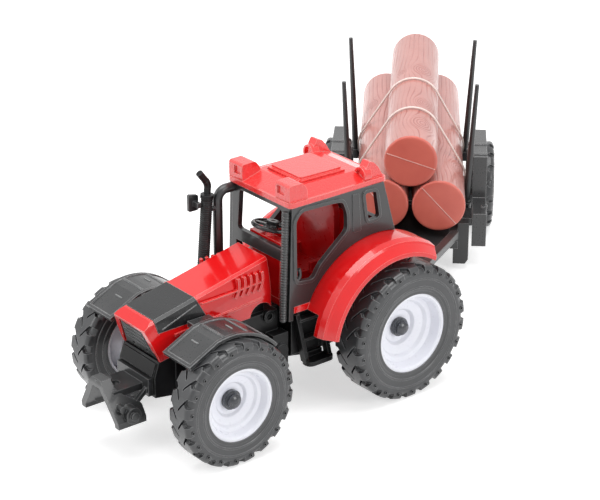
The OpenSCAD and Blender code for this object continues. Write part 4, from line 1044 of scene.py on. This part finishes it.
# A grip's line in mm: how far behind the front pillar's face, and how far above the sill
GRIP_LINE = [(7.4, 7.0), (7.9, 6.2), (8.3, 4.8), (8.4, 3.2), (8.0, 1.8), (7.0, 0.8), (5.6, 0.1)]


def round_tube_tree():
    """A round tube that follows a path, open or closed."""
    sizes = {"Tube Radius": TIE_RADIUS, "Steps": TIE_STEPS}
    tree, given, result = geometry_tree("round_tube", sizes, ("Tube",))
    path = add_node(tree, "GeometryNodeMeshToCurve", {"Mesh": given["Geometry"]}).outputs[0]
    even = add_node(tree, "GeometryNodeResampleCurve", {"Curve": path, "Count": given["Steps"]})
    ring = add_node(tree, "GeometryNodeCurvePrimitiveCircle", {
        "Resolution": TUBE_CORNERS, "Radius": given["Tube Radius"],
    })
    tube = add_node(tree, "GeometryNodeCurveToMesh", {
        "Curve": even.outputs[0], "Profile Curve": ring.outputs[0], "Fill Caps": True,
    }).outputs[0]
    smooth = add_node(tree, "GeometryNodeSetShadeSmooth", {"Geometry": tube}).outputs[0]
    feed(tree, result["Geometry"], real_in(tree, smooth, given["Tube"]))
    return tree


def round_tube(name, points, edges, radius, steps, material):
    """The mesh of a round tube along each path that the edges make."""
    path = bpy.data.meshes.new(name)
    path.from_pydata(points, edges, [])
    return grown_mesh(name, ROUND_TUBE, path, {"Tube Radius": radius, "Steps": steps, "Tube": material})


ROUND_TUBE = round_tube_tree()


def tie_paths():
    """The closed middle line of each CAD tie, worked out from the tie's own corners."""
    points = node_points("tie_bands")
    reach = [p.dot(TRAILER_BACK) for p in points]
    split = (min(reach) + max(reach)) / 2
    for behind in (False, True):
        chosen = [p for p, r in zip(points, reach) if (r >= split) == behind]
        level = sum(p.dot(TRAILER_BACK) for p in chosen) / len(chosen)
        flat = [Vector((p.dot(TRAILER_LEFT), p.z)) for p in chosen]
        outline = [flat[i] for i in convex_hull_2d(flat)]
        outline = [p for p, q in zip(outline, outline[1:] + outline[:1]) if (p - q).length > SAME_CORNER]
        middle = []
        for before, p, after in zip(outline[-1:] + outline[:-1], outline, outline[1:] + outline[:1]):
            way = (after - before).normalized()
            middle.append(p + Vector((-way.y, way.x)) * TIE_RADIUS * turned(outline))
        yield [TRAILER_BACK * level + TRAILER_LEFT * p.x + UP * p.y for p in middle]


def turned(outline):
    """1 if an outline runs anticlockwise, -1 if clockwise."""
    area = sum(p.cross(q) for p, q in zip(outline, outline[1:] + outline[:1]))
    return 1 if area > 0 else -1


def round_ties():
    """The round ties that stand for the plain CAD ones."""
    points, edges = [], []
    for path in tie_paths():
        first = len(points)
        points += path
        edges += [(first + i, first + (i + 1) % len(path)) for i in range(len(path))]
    tube = round_tube("round_ties", points, edges, TIE_RADIUS, TIE_STEPS, CLEAR_TIE)
    return finished_piece("round_ties", tube, "log_load", ("tie_bands",))


def door_grip(side):
    """The small hooked grip that rises from a door's sill, just behind the front pillar."""
    low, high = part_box(f"cab_side_{side}")
    level = (low[1] + high[1]) / 2
    points = [(high[0] - back * MM, level, low[2] + GRIP_SILL + up * MM) for back, up in GRIP_LINE]
    edges = [(i, i + 1) for i in range(len(points) - 1)]
    name = f"door_grip_{side}"
    tube = round_tube(name, points, edges, GRIP_RADIUS, GRIP_STEPS, BLACK_FRAME)
    return finished_piece(name, tube, "tractor")


round_ties()
for side in ("left", "right"):
    door_grip(side)

# ------------------------------ seams across the log ends

SEAM_WIDTH = 0.62 * MM
SEAM_HEIGHT = 0.3 * MM
# The flat of a log's end stops this share of its rounded edge inside its radius
SEAM_EDGE_SHARE = 0.6
# The way a seam slopes in the image, where only its start is named
SEAM_SLOPE = (10, 14)


def seam_strip(name, node, start, end=None):
    """A pale raised seam across a log's end, through two image points or down the slope from one."""
    first = IMAGE_POINTS[start]
    last = IMAGE_POINTS[end] if end else (first[0] + SEAM_SLOPE[0], first[1] + SEAM_SLOPE[1])
    centre, turn, _, radius = log_axis(node)
    along = turn.col[0]
    flat_radius = radius - LOG_EDGE * SEAM_EDGE_SHARE
    places = []
    for point in (first, last):
        line = sight_line(point)
        reach = (centre - CAMERA_PLACE).dot(along) / line.dot(along)
        places.append(CAMERA_PLACE + line * reach)
    added_places[start] = places[0]
    if end:
        added_places[end] = places[1]
    way = (places[1] - places[0]).normalized()
    foot = places[0] + way * (centre - places[0]).dot(way)
    half = math.sqrt(max(flat_radius**2 - (foot - centre).length_squared, 0))
    return raised_line(
        name, foot - way * half, foot + way * half, -along, SEAM_WIDTH, SEAM_HEIGHT,
        LOG_SEAM, "log_load",
    )


seam_strip("seam_top_log", "log_top", "seam_top_log_start", "seam_top_log_end")
seam_strip("seam_low_log", "log_left", "seam_low_log_start", "seam_low_log_end")
seam_strip("seam_far_log", "log_right", "seam_far_log")

# ------------------------------ floor, light, world

FLOOR_HALF = 6.0
FLOOR_DROP = 0.1 * MM
FLOOR_WHITE = 0.8
# How strongly the floor glows where it is seen directly, which brings it close to white
FLOOR_GLOW = 0.58
# How strongly the world lights the object; it shows as plain white
WORLD_LIGHT = 0.46


def white_floor():
    """A plain pale floor that keeps the object's shadow and shows close to white."""
    mesh = bpy.data.meshes.new("floor")
    far = FLOOR_HALF
    corners = [(x, y, -FLOOR_DROP) for x, y in ((-far, -far), (far, -far), (far, far), (-far, far))]
    mesh.from_pydata(corners, [], [tuple(range(len(corners)))])
    floor = new_object("floor", mesh)
    material = bpy.data.materials.new("white_floor")
    material.use_nodes = True
    tree = material.node_tree
    tree.nodes.clear()
    matt = add_node(tree, "ShaderNodeBsdfDiffuse", {"Color": (FLOOR_WHITE, FLOOR_WHITE, FLOOR_WHITE, 1)})
    glow = add_node(tree, "ShaderNodeEmission", {
        "Strength": product(tree, seen_directly(tree), FLOOR_GLOW),
    })
    both = add_node(tree, "ShaderNodeAddShader", {0: matt.outputs[0], 1: glow.outputs[0]})
    add_node(tree, "ShaderNodeOutputMaterial", {"Surface": both.outputs[0]})
    mesh.materials.append(material)
    floor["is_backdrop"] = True


def white_world():
    """Even light from all round, behind which the background is white."""
    world = bpy.data.worlds.new("studio")
    bpy.context.scene.world = world
    world.use_nodes = True
    tree = world.node_tree
    sky = tree.nodes["Background"]
    sky.inputs["Color"].default_value = (1, 1, 1, 1)
    feed(tree, sky.inputs["Strength"], ramp(tree, seen_directly(tree), 0.0, 1.0, WORLD_LIGHT, 1.0))


def soft_box(name, place, aim, size, power):
    """A large soft lamp at a place, turned to what it aims at."""
    data = bpy.data.lights.new(name, "AREA")
    data.shape = "RECTANGLE"
    data.size, data.size_y = size
    data.energy = power
    lamp = new_object(name, data)
    lamp.location = place
    lamp.rotation_mode = "QUATERNION"
    lamp.rotation_quaternion = (Vector(aim) - Vector(place)).to_track_quat("-Z", "Y")


white_floor()
white_world()
# Places, aims and sizes in metres, power in watts
soft_box("overhead", (0.1, 0.1, 1.5), (0, 0, 0.05), (1.2, 0.9), 15)
soft_box("left_window", (1.3, -0.5, 0.9), (0.1, 0, 0.06), (0.7, 0.9), 7)
soft_box("right_window", (-0.3, 1.5, 0.8), (0, 0, 0.06), (0.7, 0.7), 7)

bpy.context.scene.view_settings.view_transform = "Standard"

# ------------------------------ image points and sizes

# A rim's outer edge is what lies within this of its outermost point
RIM_EDGE_DEPTH = 0.3 * MM
# Directions that find the corners which the image points name: the roof's lower edge, the stakes' tips
ROOF_CORNER_DROP = UP * -0.4
STAKE_TIP = UP * 4 - TRAILER_BACK
STAKE_SIDE = TRAILER_LEFT * 2


def furthest(node, way):
    """The corner of a CAD node that lies furthest along a direction."""
    return max(node_points(node), key=lambda p: p.dot(way))


def outer_ring_middle(node):
    """Where the outer edge of a wheel's rim shows, as the middle of its extent in the image."""
    points = node_points(node)
    outer = max(p.y for p in points)
    shown = [shown_at(p) for p in points if p.y > outer - RIM_EDGE_DEPTH]
    return tuple((min(q[i] for q in shown) + max(q[i] for q in shown)) / 2 for i in range(2))


def shown_places():
    """Where each image point's thing shows in this scene."""
    corners = {
        "roof_front_right": furthest("roof", TRACTOR_FRONT - TRACTOR_LEFT + ROOF_CORNER_DROP),
        "roof_front_left": furthest("roof", TRACTOR_FRONT + TRACTOR_LEFT + ROOF_CORNER_DROP),
        "roof_rear_left": furthest("roof", TRACTOR_LEFT - TRACTOR_FRONT + ROOF_CORNER_DROP),
        "stake_front_left": furthest("stakes", STAKE_TIP + STAKE_SIDE),
        "stake_front_right": furthest("stakes", STAKE_TIP - STAKE_SIDE),
    }
    shown = {name: shown_at(place) for name, place in (corners | added_places).items()}
    for end in ("front", "rear"):
        shown[f"{end}_rim_left"] = outer_ring_middle(f"rim_{end}_left")
    return shown


def write_points():
    """Works out how far each thing shows from its image point, in pixels, and the object's edges from
    theirs; nothing is kept or written.
    """
    offsets = {
        name: [round(q - p, 2) for p, q in zip(IMAGE_POINTS[name], place)]
        for name, place in shown_places().items()
    }
    xs, ys = [], []
    graph = bpy.context.evaluated_depsgraph_get()
    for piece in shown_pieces():
        body = piece.evaluated_get(graph)
        mesh = body.to_mesh()
        for corner in mesh.vertices:
            x, y = shown_at(piece.matrix_world @ corner.co)
            xs.append(x)
            ys.append(y)
        body.to_mesh_clear()
    edges = {"left_x": min(xs), "right_x": max(xs), "top_y": min(ys), "bottom_y": max(ys)}
    for name, value in edges.items():
        offsets[name] = round(value - OBJECT_EDGES[name], 2)


bpy.context.view_layer.update()
write_points()
